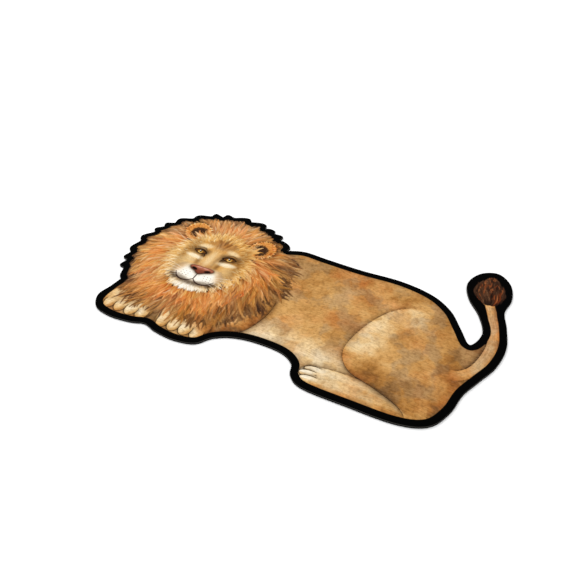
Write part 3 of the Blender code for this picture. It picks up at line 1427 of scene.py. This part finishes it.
class FaceBrush:
    """Paints on the face in the head's own places, on both halves at once."""

    NOSE_HEIGHT = -72.0

    def __init__(self, canvas: Canvas, head: Head) -> None:
        """Works out the head's places and the lie of its short hair.

        Args:
            canvas: Where to paint.
            head: The head, which gives the place.
        """
        self.canvas = canvas
        from_x, from_y = canvas.x - head.middle[0], canvas.y - head.middle[1]
        self.places = np.flatnonzero(np.hypot(from_x, from_y + 40.0) < head.reach)
        self.u, self.v = from_x[self.places], from_y[self.places]
        self.patches = cloud(self.u, self.v, 22.0, 401, 3)
        # Hair on the face lies outwards from the nose.
        angle = np.arctan2(self.u, self.v - self.NOSE_HEIGHT) * 190.0 + 5.0 * self.patches
        radius = np.hypot(self.u, self.v - self.NOSE_HEIGHT)
        self.hair = 0.55 * noise(angle, radius * 0.16, 5.0, 71)
        self.hair += 0.45 * noise(angle, radius * 0.30, 2.6, 83)
        self.flow = np.stack([radius * 1.6, angle], -1)

    def oval(
        self, u: float, v: float, wide: float, high: float, turn: float, soft: float,
        ragged: float = 0.0, paired: bool = True,
    ) -> Array:
        """The cover of a soft oval.

        Args:
            u: Its middle, across.
            v: Its middle, up.
            wide: Half its width.
            high: Half its height.
            turn: How far it is turned, in degrees.
            soft: How soft its edge is, as a share of its size.
            ragged: How far hair frays its edge, as a share of its size.
            paired: Whether the other half of the face has its mirror image.

        Returns:
            One number from 0 to 1 for each point of the face.
        """
        angle = math.radians(turn)
        from_u = (np.abs(self.u) if paired else self.u) - u
        from_v = self.v - v
        along = (from_u * math.cos(angle) + from_v * math.sin(angle)) / wide
        up = (-from_u * math.sin(angle) + from_v * math.cos(angle)) / high
        return ease(1.0 + soft, 1.0 - soft, np.hypot(along, up) + ragged * self.hair)

    def lay(self, colour: Array, cover: Array) -> None:
        """Lays colours over the face."""
        self.canvas.lay(self.places, colour, cover)

    def tint(self, code: str, cover: Array) -> None:
        """Lays one colour over the face."""
        self.canvas.lay(self.places, srgb(code), cover)

    def shade(self, loss: Array) -> None:
        """Darkens the face."""
        self.canvas.shade(self.places, loss)

    def line(self, knots: Knots, width: float, code: str, cover: float, paired: bool = True) -> None:
        """Draws a line that thins towards both ends.

        Args:
            knots: Points as (u, v).
            width: Its greatest width, in mm.
            code: Its colour.
            cover: How opaque it is.
            paired: Whether the other half of the face has its mirror image.
        """
        path = smooth_path(knots, 6, False)
        u = np.abs(self.u) if paired else self.u
        (low_u, low_v), (high_u, high_v) = path.min(0) - 8.0, path.max(0) + 8.0
        near = (u > low_u) & (u < high_u) & (self.v > low_v) & (self.v < high_v)
        near = np.flatnonzero(near)
        way = nearest(u[near], self.v[near], path, False)
        half = 0.5 * width * np.sin(math.pi * (0.05 + 0.9 * way.along)) ** 0.5
        self.canvas.lay(
            self.places[near], srgb(code), cover * ease(0.9, -0.9, way.distance - half)
        )


@dataclass
class LionPrint:
    """The whole print."""

    body: Body = field(default_factory=Body)
    mane: Mane = field(default_factory=Mane)
    head: Head = field(default_factory=Head)

    def paint(self, canvas: Canvas, outline: Outline) -> None:
        """Paints body, mane and face, in that order.

        Args:
            canvas: Where to paint.
            outline: The rug's edge.
        """
        self.body.paint(canvas, outline)
        self.mane.paint(canvas, outline, self.head)
        self.head.paint_face(canvas)


# --------------------------------------------------------------------------- materials
Socket = bpy.types.NodeSocket


def add_node(
    tree: bpy.types.NodeTree,
    kind: str,
    settings: dict[str, object] | None = None,
    values: dict[str | int, object] | None = None,
    links: dict[str | int, Socket] | None = None,
) -> bpy.types.Node:
    """Adds a shader node with its settings and links.

    Args:
        tree: Where to add it.
        kind: The node's type, without the leading "ShaderNode".
        settings: The node's own properties.
        values: Values of its input sockets, by name or number.
        links: Sockets that feed its inputs, by name or number.

    Returns:
        The new node.
    """
    node = tree.nodes.new("ShaderNode" + kind)
    for name, value in (settings or {}).items():
        setattr(node, name, value)
    for name, value in (values or {}).items():
        node.inputs[name].default_value = value
    for name, socket in (links or {}).items():
        tree.links.new(socket, node.inputs[name])
    return node


def new_material(name: str) -> tuple[bpy.types.Material, bpy.types.Node]:
    """An empty node material.

    Args:
        name: The material's name.

    Returns:
        The material and its Principled shader.
    """
    material = bpy.data.materials.new(name)
    material.use_nodes = True
    return material, material.node_tree.nodes["Principled BSDF"]


@dataclass(frozen=True)
class PrintedPlush:
    """Dye-printed polyester plush: short dense pile, so matt that its black stays black."""

    margin_black: str = "#020202"
    ink_brown: str = "#1E120A"
    # A painted highlight for the rounded rim, over the pale cut edge of the pile.
    cut_edge_highlight: str = "#4A4743"
    dye_bleed: float = 0.6
    strand_length: float = 26.0
    strand_width: float = 1.5
    sponge_size: float = 8.5
    grain_size: float = 2.6
    tuft_size: float = 1.1
    pile_height: float = 0.35

    def material(self) -> bpy.types.Material:
        """Makes the material.

        Returns:
            The material.
        """
        material, shader = new_material("polyester_plush_printed")
        tree = material.node_tree
        given = {
            name: add_node(tree, "Attribute", {"attribute_name": name}).outputs
            for name in ("dye", "coat", "ink", "ink_half", "hair", "strand", "cut")
        }
        place = add_node(tree, "TexCoord").outputs["Object"]
        fur = self.sponged(tree, given["dye"]["Color"], given["hair"]["Fac"], place)
        fur = self.stranded(tree, fur, given["strand"]["Vector"], given["hair"]["Fac"])
        # Tufts of pile, each a little paler or darker.
        tufts = self.speckle(tree, place, self.tuft_size, 1.0)
        gain = self.ranged(tree, tufts, 0.25, 0.75, 0.93, 1.07)
        fur = add_node(tree, "VectorMath", {"operation": "SCALE"}, None, {0: fur, "Scale": gain})
        far = add_node(tree, "Math", {"operation": "ABSOLUTE"}, None, {0: given["ink"]["Fac"]})
        depth = add_node(
            tree, "Math", {"operation": "SUBTRACT"}, None,
            {0: given["ink_half"]["Fac"], 1: far.outputs[0]},
        )
        inked = self.ranged(tree, depth.outputs[0], -self.dye_bleed, self.dye_bleed, 0.0, 0.85)
        drawn = self.mixed(tree, inked, fur.outputs[0], linear(self.ink_brown))
        bare = self.ranged(tree, given["coat"]["Fac"], self.dye_bleed, -self.dye_bleed, 0.0, 1.0)
        printed = self.mixed(tree, bare, drawn, linear(self.margin_black))
        # The rim's rows are painted pale: the cut edge of the pile, and a painted highlight where the
        # rounded rim catches the light.
        with_rim_highlight = self.mixed(tree, given["cut"]["Fac"], printed, linear(self.cut_edge_highlight))
        bump = add_node(
            tree, "Bump", None, {"Strength": 0.5, "Distance": self.pile_height * MM},
            {"Height": tufts},
        )
        tree.links.new(with_rim_highlight, shader.inputs["Base Color"])
        tree.links.new(bump.outputs["Normal"], shader.inputs["Normal"])
        shader.inputs["Roughness"].default_value = 1.0
        shader.inputs["Specular IOR Level"].default_value = 0.02
        return material

    def sponged(self, tree: bpy.types.NodeTree, dye: Socket, hair: Socket, place: Socket) -> Socket:
        """Breaks the dye up in short fur, as a sponge and a dry brush do.

        Args:
            tree: The material's nodes.
            dye: The colour.
            hair: 1 in long hair, which stays smooth.
            place: The place on the cloth.

        Returns:
            The broken colour.
        """
        blots = self.speckle(tree, place, self.sponge_size, 6.0)
        grain = self.speckle(tree, place, self.grain_size, 3.0)
        deep = self.ranged(tree, blots, 0.50, 0.62, 0.0, 0.42)
        pale = self.ranged(tree, blots, 0.48, 0.36, 0.0, 0.30)
        dots = self.ranged(tree, grain, 0.54, 0.66, 0.0, 0.30)
        short = self.ranged(tree, hair, 0.0, 1.0, 1.0, 0.15)
        for share, factor, lift in (
            (deep, (0.52, 0.48, 0.44), (0.0, 0.0, 0.0)),
            (dots, (0.62, 0.55, 0.50), (0.0, 0.0, 0.0)),
            (pale, (1.10, 1.10, 1.08), (0.05, 0.045, 0.035)),
        ):
            changed = add_node(
                tree, "VectorMath", {"operation": "MULTIPLY_ADD"}, {1: factor, 2: lift}, {0: dye}
            )
            weight = add_node(tree, "Math", {"operation": "MULTIPLY"}, None, {0: share, 1: short})
            dye = self.mixed(tree, weight.outputs[0], dye, changed.outputs[0])
        return dye

    def stranded(self, tree: bpy.types.NodeTree, dye: Socket, strand: Socket, hair: Socket) -> Socket:
        """Draws fine strands along the hair.

        Args:
            tree: The material's nodes.
            dye: The colour.
            strand: How far along and across the hair each point is, in mm.
            hair: 1 in long hair, 0 in short fur, where strands are fainter.

        Returns:
            The colour with its strands.
        """
        stretch = add_node(
            tree, "VectorMath", {"operation": "MULTIPLY"},
            {1: (1.0 / self.strand_length, 1.0 / self.strand_width, 0.0)}, {0: strand},
        )
        strands = add_node(
            tree, "TexNoise", {"noise_dimensions": "2D"}, {"Scale": 1.0, "Detail": 2.0},
            {"Vector": stretch.outputs[0]},
        )
        gain = self.ranged(tree, strands.outputs["Fac"], 0.3, 0.7, 0.80, 1.18)
        share = self.ranged(tree, hair, 0.0, 1.0, 0.60, 1.0)
        scaled = add_node(tree, "VectorMath", {"operation": "SCALE"}, None, {0: dye, "Scale": gain})
        return self.mixed(tree, share, dye, scaled.outputs[0])

    def speckle(self, tree: bpy.types.NodeTree, place: Socket, size: float, detail: float) -> Socket:
        """Noise with lumps of a size in mm, as a socket."""
        values = {"Scale": 1.0 / (size * MM), "Detail": detail, "Roughness": 0.62}
        return add_node(tree, "TexNoise", None, values, {"Vector": place}).outputs["Fac"]

    def ranged(
        self, tree: bpy.types.NodeTree, value: Socket, low: float, high: float, least: float,
        most: float,
    ) -> Socket:
        """Eases a value's range, from low and high to least and most.

        Args:
            tree: The material's nodes.
            value: The value.
            low: Where the result is least.
            high: Where the result is most, over or under low.
            least: The result at low.
            most: The result at high.

        Returns:
            The eased value.
        """
        (low, least), (high, most) = sorted(((low, least), (high, most)))
        return add_node(
            tree, "MapRange", {"interpolation_type": "SMOOTHSTEP"},
            {"From Min": low, "From Max": high, "To Min": least, "To Max": most}, {"Value": value},
        ).outputs["Result"]

    def mixed(self, tree: bpy.types.NodeTree, share: Socket, first: Socket, second: object) -> Socket:
        """Mixes a colour with another, or with a fixed one.

        Args:
            tree: The material's nodes.
            share: How much of the second colour there is.
            first: The colour where share is 0.
            second: The colour where share is 1, a socket or a linear colour.

        Returns:
            The mixed colour.
        """
        mix = add_node(tree, "Mix", {"data_type": "RGBA"}, None, {0: share, 6: first})
        if isinstance(second, bpy.types.NodeSocket):
            tree.links.new(second, mix.inputs[7])
        else:
            mix.inputs[7].default_value = second
        return mix.outputs[2]


@dataclass(frozen=True)
class FoamedRubber:
    """Black foamed rubber: matt, with the open grain of its skin."""

    # Real cells are about half a millimetre; they are drawn coarser, so that they show close up.
    black: str = "#111111"
    grain_size: float = 1.4
    grain_depth: float = 0.25

    def material(self) -> bpy.types.Material:
        """Makes the material.

        Returns:
            The material.
        """
        material, shader = new_material("foamed_rubber_black")
        tree = material.node_tree
        place = add_node(tree, "TexCoord").outputs["Object"]
        grain = add_node(
            tree, "TexNoise", None, {"Scale": 1.0 / (self.grain_size * MM), "Detail": 2.0},
            {"Vector": place},
        )
        tone = add_node(
            tree, "MapRange", None, {"From Min": 0.3, "From Max": 0.7, "To Min": 0.4, "To Max": 1.8},
            {"Value": grain.outputs["Fac"]},
        )
        colour = add_node(
            tree, "VectorMath", {"operation": "SCALE"}, {0: linear(self.black)[:3]},
            {"Scale": tone.outputs["Result"]},
        )
        bump = add_node(
            tree, "Bump", None, {"Strength": 0.6, "Distance": self.grain_depth * MM},
            {"Height": grain.outputs["Fac"]},
        )
        tree.links.new(colour.outputs[0], shader.inputs["Base Color"])
        tree.links.new(bump.outputs["Normal"], shader.inputs["Normal"])
        shader.inputs["Roughness"].default_value = 0.75
        shader.inputs["Specular IOR Level"].default_value = 0.15
        return material


@dataclass(frozen=True)
class StudioPaper:
    """White background paper, quite matt."""

    white: str = "#F7F7F7"

    def material(self) -> bpy.types.Material:
        """Makes the material.

        Returns:
            The material.
        """
        material, shader = new_material("background_paper_white")
        shader.inputs["Base Color"].default_value = linear(self.white)
        shader.inputs["Roughness"].default_value = 1.0
        shader.inputs["Specular IOR Level"].default_value = 0.0
        return material


# --------------------------------------------------------------------------- the rug's layers
class RimStep(NamedTuple):
    """One row of points round a layer: how far in and how high, in mm, and how pale its cut edge and
    painted rim highlight are.
    """

    inset: float
    height: float
    cut: float = 0.0


def edge_of_node(node: bpy.types.Object) -> Array:
    """Reads the knife's path from a solid layer.

    Args:
        node: The solid's object. Its mesh isn't changed.

    Returns:
        Points of its widest level in mm, anticlockwise.
    """
    corners = np.array([v.co for v in node.data.vertices]) / MM
    levels = np.unique(np.round(corners[:, 2], 2))
    upper_wall = levels[-2]
    keys = [tuple(np.round(corner, 2)) for corner in corners]
    links: dict[tuple, set[tuple]] = {}
    for edge in node.data.edges:
        first, second = (keys[place] for place in edge.vertices)
        if first != second and first[2] == second[2] == np.round(upper_wall, 2):
            links.setdefault(first, set()).add(second)
            links.setdefault(second, set()).add(first)
    start = min(links)
    ring, last = [start], None
    while True:
        following = [key for key in links[ring[-1]] if key != last]
        last = ring[-1]
        if following[0] == start or len(ring) > len(links):
            break
        ring.append(following[0])
    path = np.array(ring)[:, :2]
    ahead = np.roll(path, -1, 0)
    area = 0.5 * float(np.sum(path[:, 0] * ahead[:, 1] - ahead[:, 0] * path[:, 1]))
    return path if area > 0.0 else path[::-1]


def inset_ring(ring: Array, inset: float) -> Array:
    """Moves a ring inwards.

    Args:
        ring: Points in mm, anticlockwise.
        inset: How far, in mm.

    Returns:
        The moved points.
    """
    ahead, behind = np.roll(ring, -1, 0) - ring, ring - np.roll(ring, 1, 0)
    ahead /= np.maximum(np.hypot(*ahead.T), 1e-9)[:, None]
    behind /= np.maximum(np.hypot(*behind.T), 1e-9)[:, None]
    way = ahead + behind
    way /= np.maximum(np.hypot(*way.T), 1e-9)[:, None]
    return ring + inset * np.stack([-way[:, 1], way[:, 0]], -1)


def fill_ring(ring: Array, points: Array) -> tuple[Array, list[tuple[int, ...]]]:
    """Triangulates the inside of a ring, through the points in it.

    Args:
        ring: Points in mm, anticlockwise.
        points: Points within it, in mm.

    Returns:
        All points, the ring's first, and the triangles, anticlockwise.
    """
    places = np.vstack([ring, points])
    loop = list(range(len(ring)))
    edges = list(zip(loop, loop[1:] + loop[:1]))
    given = [Vector(place) for place in places * MM]
    made, _, faces, *_ = delaunay_2d_cdt(given, edges, [], 0, 1e-9)
    if len(made) != len(places):
        raise ValueError("the edge of the rug crosses itself")
    middles = np.array([places[list(face)].mean(0) for face in faces])
    kept = inside(middles[:, 0], middles[:, 1], ring)
    return places, [face for face, keep in zip(faces, kept) if keep]


def layer_mesh(name: str, ring: Array, rim: Sequence[RimStep], points: Array) -> bpy.types.Mesh:
    """A closed flat layer with a shaped rim.

    Args:
        name: The mesh's name.
        ring: The layer's edge in mm, anticlockwise.
        rim: Rows round the rim, from the top face down to the underside.
        points: Points of the top face, in mm.

    Returns:
        The mesh. Its first vertices are those of the top face.
    """
    top, faces = fill_ring(inset_ring(ring, rim[0].inset), points)
    count = len(ring)
    heights = [np.full(len(top), rim[0].height)]
    places, rows = [top], [np.arange(count)]
    used = len(top)
    for step in rim[1:]:
        places.append(inset_ring(ring, step.inset))
        heights.append(np.full(count, step.height))
        rows.append(np.arange(used, used + count))
        used += count
    for above, below in zip(rows, rows[1:]):
        for here in range(count):
            there = (here + 1) % count
            faces.append((above[here], below[here], below[there], above[there]))
    _, under = fill_ring(places[-1], np.empty((0, 2)))
    faces += [tuple(int(rows[-1][corner]) for corner in face[::-1]) for face in under]
    corners = np.column_stack([np.vstack(places), np.concatenate(heights)]) * MM
    mesh = bpy.data.meshes.new(name)
    mesh.from_pydata(corners.tolist(), [], [tuple(int(c) for c in face) for face in faces])
    mesh.validate()
    return mesh


class Weave(NamedTuple):
    """A region of the print and the spacing of the cloth's points there, all in mm."""

    x: float
    y: float
    wide: float
    high: float
    spacing: float


@dataclass
class PrintedFace:
    """The printed pile face.

    Attributes:
        node: The solid that it stands for.
        edge_round: The rounding of its upper edge, in mm.
        margin_spacing: The spacing of points in the black margin.
        coat_spacing: The spacing of points on the body.
        weaves: Where points are closer, the closest last.
        edge_steps: Points on the edge for each point of the solid's.
        light_share: How much of the light the palest dye throws back.
    """

    node: str = "printed_face"
    edge_round: float = 0.8
    margin_spacing: float = 7.0
    coat_spacing: float = 3.6
    weaves: tuple[Weave, ...] = (
        Weave(-322.0, -8.0, 262.0, 262.0, 2.5),
        Weave(-331.0, -280.0, 200.0, 62.0, 2.4),
        Weave(300.0, -285.0, 190.0, 52.0, 2.6),
        Weave(508.0, 262.0, 66.0, 90.0, 2.6),
        Weave(-322.0, 0.0, 124.0, 160.0, 1.62),
    )
    edge_steps: int = 3
    light_share: float = 0.86
    finish: PrintedPlush = field(default_factory=PrintedPlush)

    def spacing(self, x: Array, y: Array, depth: Array) -> Array:
        """How close the cloth's points are at each place.

        Args:
            x: Places across.
            y: Places up.
            depth: How deep within the edge they are.

        Returns:
            Spacings, in mm.
        """
        in_print = depth > BLACK_MARGIN - 5.0
        wanted = np.where(in_print, self.coat_spacing, self.margin_spacing)
        for weave in self.weaves:
            reach = np.hypot((x - weave.x) / weave.wide, (y - weave.y) / weave.high)
            wanted = np.where((reach < 1.0) & in_print, weave.spacing, wanted)
        return wanted

    def cloth_points(self, outline: Outline) -> Array:
        """Points of the top face, closest where the print is finest.

        Args:
            outline: The rug's edge.

        Returns:
            One row of x and y for each, in mm.
        """
        low, high = outline.ring.min(0), outline.ring.max(0)
        found = []
        spacings = {self.margin_spacing, self.coat_spacing, *(w.spacing for w in self.weaves)}
        for spacing in sorted(spacings):
            rows = np.arange(low[1], high[1], spacing * math.sqrt(0.75))
            columns = np.arange(low[0], high[0], spacing)
            x, y = np.meshgrid(columns, rows)
            x[1::2] += 0.5 * spacing
            x, y = x.ravel(), y.ravel()
            depth = outline.rough_depth(np.stack([x, y], -1))
            wanted = self.spacing(x, y, depth)
            keep = np.isclose(wanted, spacing) & (depth > self.edge_round + 0.4 * spacing)
            found.append(np.stack([x[keep], y[keep]], -1))
        return np.vstack(found)

    def build(self, solid: bpy.types.Object) -> bpy.types.Object:
        """Builds and prints the face.

        Args:
            solid: The solid that it stands for.

        Returns:
            The face's object.
        """
        low, high = (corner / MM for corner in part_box(self.node))
        knife = edge_of_node(solid)
        outline = Outline(knife)
        ring = smooth_path(knife, self.edge_steps, True)
        points = self.cloth_points(outline)
        depth = outline.depth(points[:, 0], points[:, 1])
        points, depth = points[depth > 2.0], depth[depth > 2.0]
        curve = self.edge_round
        # The rounded top edge is painted pale: the cut edge of the pile, with a painted highlight where
        # the rim catches the light.
        rim = [
            RimStep(curve * (1.0 - math.sin(turn)), high.z - curve * (1.0 - math.cos(turn)), cut)
            for turn, cut in zip(np.radians((0.0, 30.0, 60.0, 90.0)), (0.0, 0.7, 1.0, 0.5))
        ]
        rim += [RimStep(0.0, low.z + 0.3), RimStep(0.3, low.z)]
        mesh = layer_mesh("plush_face", ring, rim, points)
        face = bpy.data.objects.new("plush_face", mesh)
        bpy.context.scene.collection.objects.link(face)
        canvas = Canvas(points[:, 0], points[:, 1], depth)
        LionPrint().paint(canvas, outline)
        self.print_on(mesh, canvas, len(ring), rim)
        return face

    def print_on(
        self, mesh: bpy.types.Mesh, canvas: Canvas, rim_count: int, rim: Sequence[RimStep]
    ) -> None:
        """Prints the canvas on the face, as attributes of its points.

        Args:
            mesh: The face's mesh, whose points are the rim's, the canvas's and the lower rows'.
            canvas: The painted points.
            rim_count: How many points each row of the rim has.
            rim: The rim's rows.
        """
        colour = to_linear(np.clip(canvas.colour, 0.0, 1.0)) * self.light_share
        opaque = np.ones((len(colour), 1))
        flat = np.zeros((len(colour), 1))
        # Only the rim's rows get the pale cut edge and its painted highlight.
        cut = np.repeat([step.cut for step in rim[1:]], rim_count)
        for name, kind, slot, values, elsewhere in (
            ("dye", "FLOAT_COLOR", "color", np.hstack([colour, opaque]), 0.0),
            ("strand", "FLOAT_VECTOR", "vector", np.hstack([canvas.strand, flat]), 0.0),
            ("coat", "FLOAT", "value", canvas.coat[:, None], -BLACK_MARGIN),
            ("ink", "FLOAT", "value", canvas.ink[:, None], Canvas.INK_REACH),
            ("ink_half", "FLOAT", "value", canvas.ink_half[:, None], Canvas.NO_INK),
            ("hair", "FLOAT", "value", canvas.hair[:, None], 0.0),
            ("cut", "FLOAT", "value", flat, 0.0),
        ):
            everywhere = np.full((len(mesh.vertices), values.shape[1]), elsewhere, np.float32)
            last = rim_count + len(values)
            everywhere[rim_count:last] = canvas.in_cloth_order(values)
            if name == "cut":
                everywhere[last:, 0] = cut
            attribute = mesh.attributes.new(name, kind, "POINT")
            attribute.data.foreach_set(slot, everywhere.ravel())

    def dress(self, face: bpy.types.Object, base: bpy.types.Object) -> None:
        """Gives the face its material and smooth shading, and fixes it to the body.

        Args:
            face: The face's object.
            base: What it lies on; not used.
        """
        face.data.materials.append(self.finish.material())
        face.data.shade_smooth()
        declare_layer(face, self.node)


@dataclass
class NonSlipBase:
    """The black base, a flat slab of foamed rubber.

    Attributes:
        node: The solid that it stands for.
        edge_round: The rounding of its edges, in mm.
        edge_steps: Points on the edge for each point of the solid's.
    """

    node: str = "non_slip_base"
    edge_round: float = 0.5
    edge_steps: int = 3
    finish: FoamedRubber = field(default_factory=FoamedRubber)

    def build(self, solid: bpy.types.Object) -> bpy.types.Object:
        """Builds the base.

        Args:
            solid: The solid that it stands for.

        Returns:
            The base's object.
        """
        low, high = (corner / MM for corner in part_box(self.node))
        ring = smooth_path(edge_of_node(solid), self.edge_steps, True)
        curve = self.edge_round
        turns = np.radians((0.0, 45.0, 90.0))
        rim = [RimStep(curve * (1 - math.sin(t)), high.z - curve * (1 - math.cos(t))) for t in turns]
        rim += [RimStep(step.inset, low.z + high.z - step.height) for step in reversed(rim)]
        mesh = layer_mesh("rubber_base", ring, rim, np.empty((0, 2)))
        base = bpy.data.objects.new("rubber_base", mesh)
        bpy.context.scene.collection.objects.link(base)
        return base

    def dress(self, base: bpy.types.Object) -> None:
        """Gives the base its material and smooth shading, and fixes it to the body.

        Args:
            base: The base's object.
        """
        base.data.materials.append(self.finish.material())
        base.data.shade_smooth()
        declare_layer(base, self.node)


def declare_layer(piece: bpy.types.Object, node: str) -> None:
    """Marks a layer's sharp edges, attaches it to the body that it moves with and hides its solid.

    Args:
        piece: The layer's object.
        node: The solid that it stands for.
    """
    piece.data.set_sharp_from_angle(angle=math.radians(40.0))
    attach(piece, BODY)
    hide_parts(node)


# --------------------------------------------------------------------------- studio
@dataclass
class Studio:
    """A white paper floor, soft light from all round with a large key light, and the camera.

    The camera's place was found from the photograph: its margin is equally wide all round the
    rug only from here.
    """

    floor_size: float = 30.0
    sky: float = 1.08
    key_power: float = 62.0
    key_size: float = 3.0
    key_place: tuple[float, float, float] = (-2.2, 1.4, 3.0)
    camera_place: tuple[float, float, float] = (0.594, -1.280, 1.213)
    camera_heading: float = 26.5
    camera_dip: float = 40.3
    lens: float = 38.75
    sensor: float = 36.0

    def build(self) -> None:
        """Makes the floor, the light and the camera."""
        self.build_floor()
        self.build_light()
        self.build_camera()

    def build_floor(self) -> None:
        """Makes the floor."""
        bpy.ops.object.select_all(action="DESELECT")
        bpy.ops.mesh.primitive_plane_add(size=self.floor_size)
        floor = bpy.context.object
        floor.name = "studio_floor"
        floor.data.materials.append(StudioPaper().material())

    def build_light(self) -> None:
        """Makes the even light of the room and the key light."""
        world = bpy.data.worlds.new("studio_light")
        world.use_nodes = True
        background = world.node_tree.nodes["Background"]
        background.inputs["Color"].default_value = (1.0, 1.0, 1.0, 1.0)
        background.inputs["Strength"].default_value = self.sky
        scene = bpy.context.scene
        scene.world = world
        scene.view_settings.view_transform = "Standard"
        lamp = bpy.data.lights.new("key_light", "AREA")
        lamp.energy, lamp.size = self.key_power, self.key_size
        key = bpy.data.objects.new("key_light", lamp)
        key.location = self.key_place
        key.rotation_euler = (-Vector(self.key_place)).to_track_quat("-Z", "Y").to_euler()
        scene.collection.objects.link(key)

    def build_camera(self) -> None:
        """Makes the camera."""
        camera = bpy.data.cameras.new("camera")
        camera.lens, camera.sensor_width = self.lens, self.sensor
        view = bpy.data.objects.new("camera", camera)
        view.location = self.camera_place
        dip, heading = math.radians(90.0 - self.camera_dip), math.radians(self.camera_heading)
        view.rotation_euler = (dip, 0.0, heading)
        bpy.context.scene.collection.objects.link(view)
        bpy.context.scene.camera = view


def main() -> None:
    """Builds the rug on its frame, and the studio round it."""
    logging.basicConfig(level=logging.INFO, format="%(name)s: %(message)s")
    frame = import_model()
    Studio().build()
    base_layer, face_layer = NonSlipBase(), PrintedFace()
    base = base_layer.build(frame["nodes"][base_layer.node])
    base_layer.dress(base)
    LOG.info("%s: %d faces", base.name, len(base.data.polygons))
    face = face_layer.build(frame["nodes"][face_layer.node])
    face_layer.dress(face, base)
    LOG.info("%s: %d faces", face.name, len(face.data.polygons))


if __name__ == "__main__":
    main()
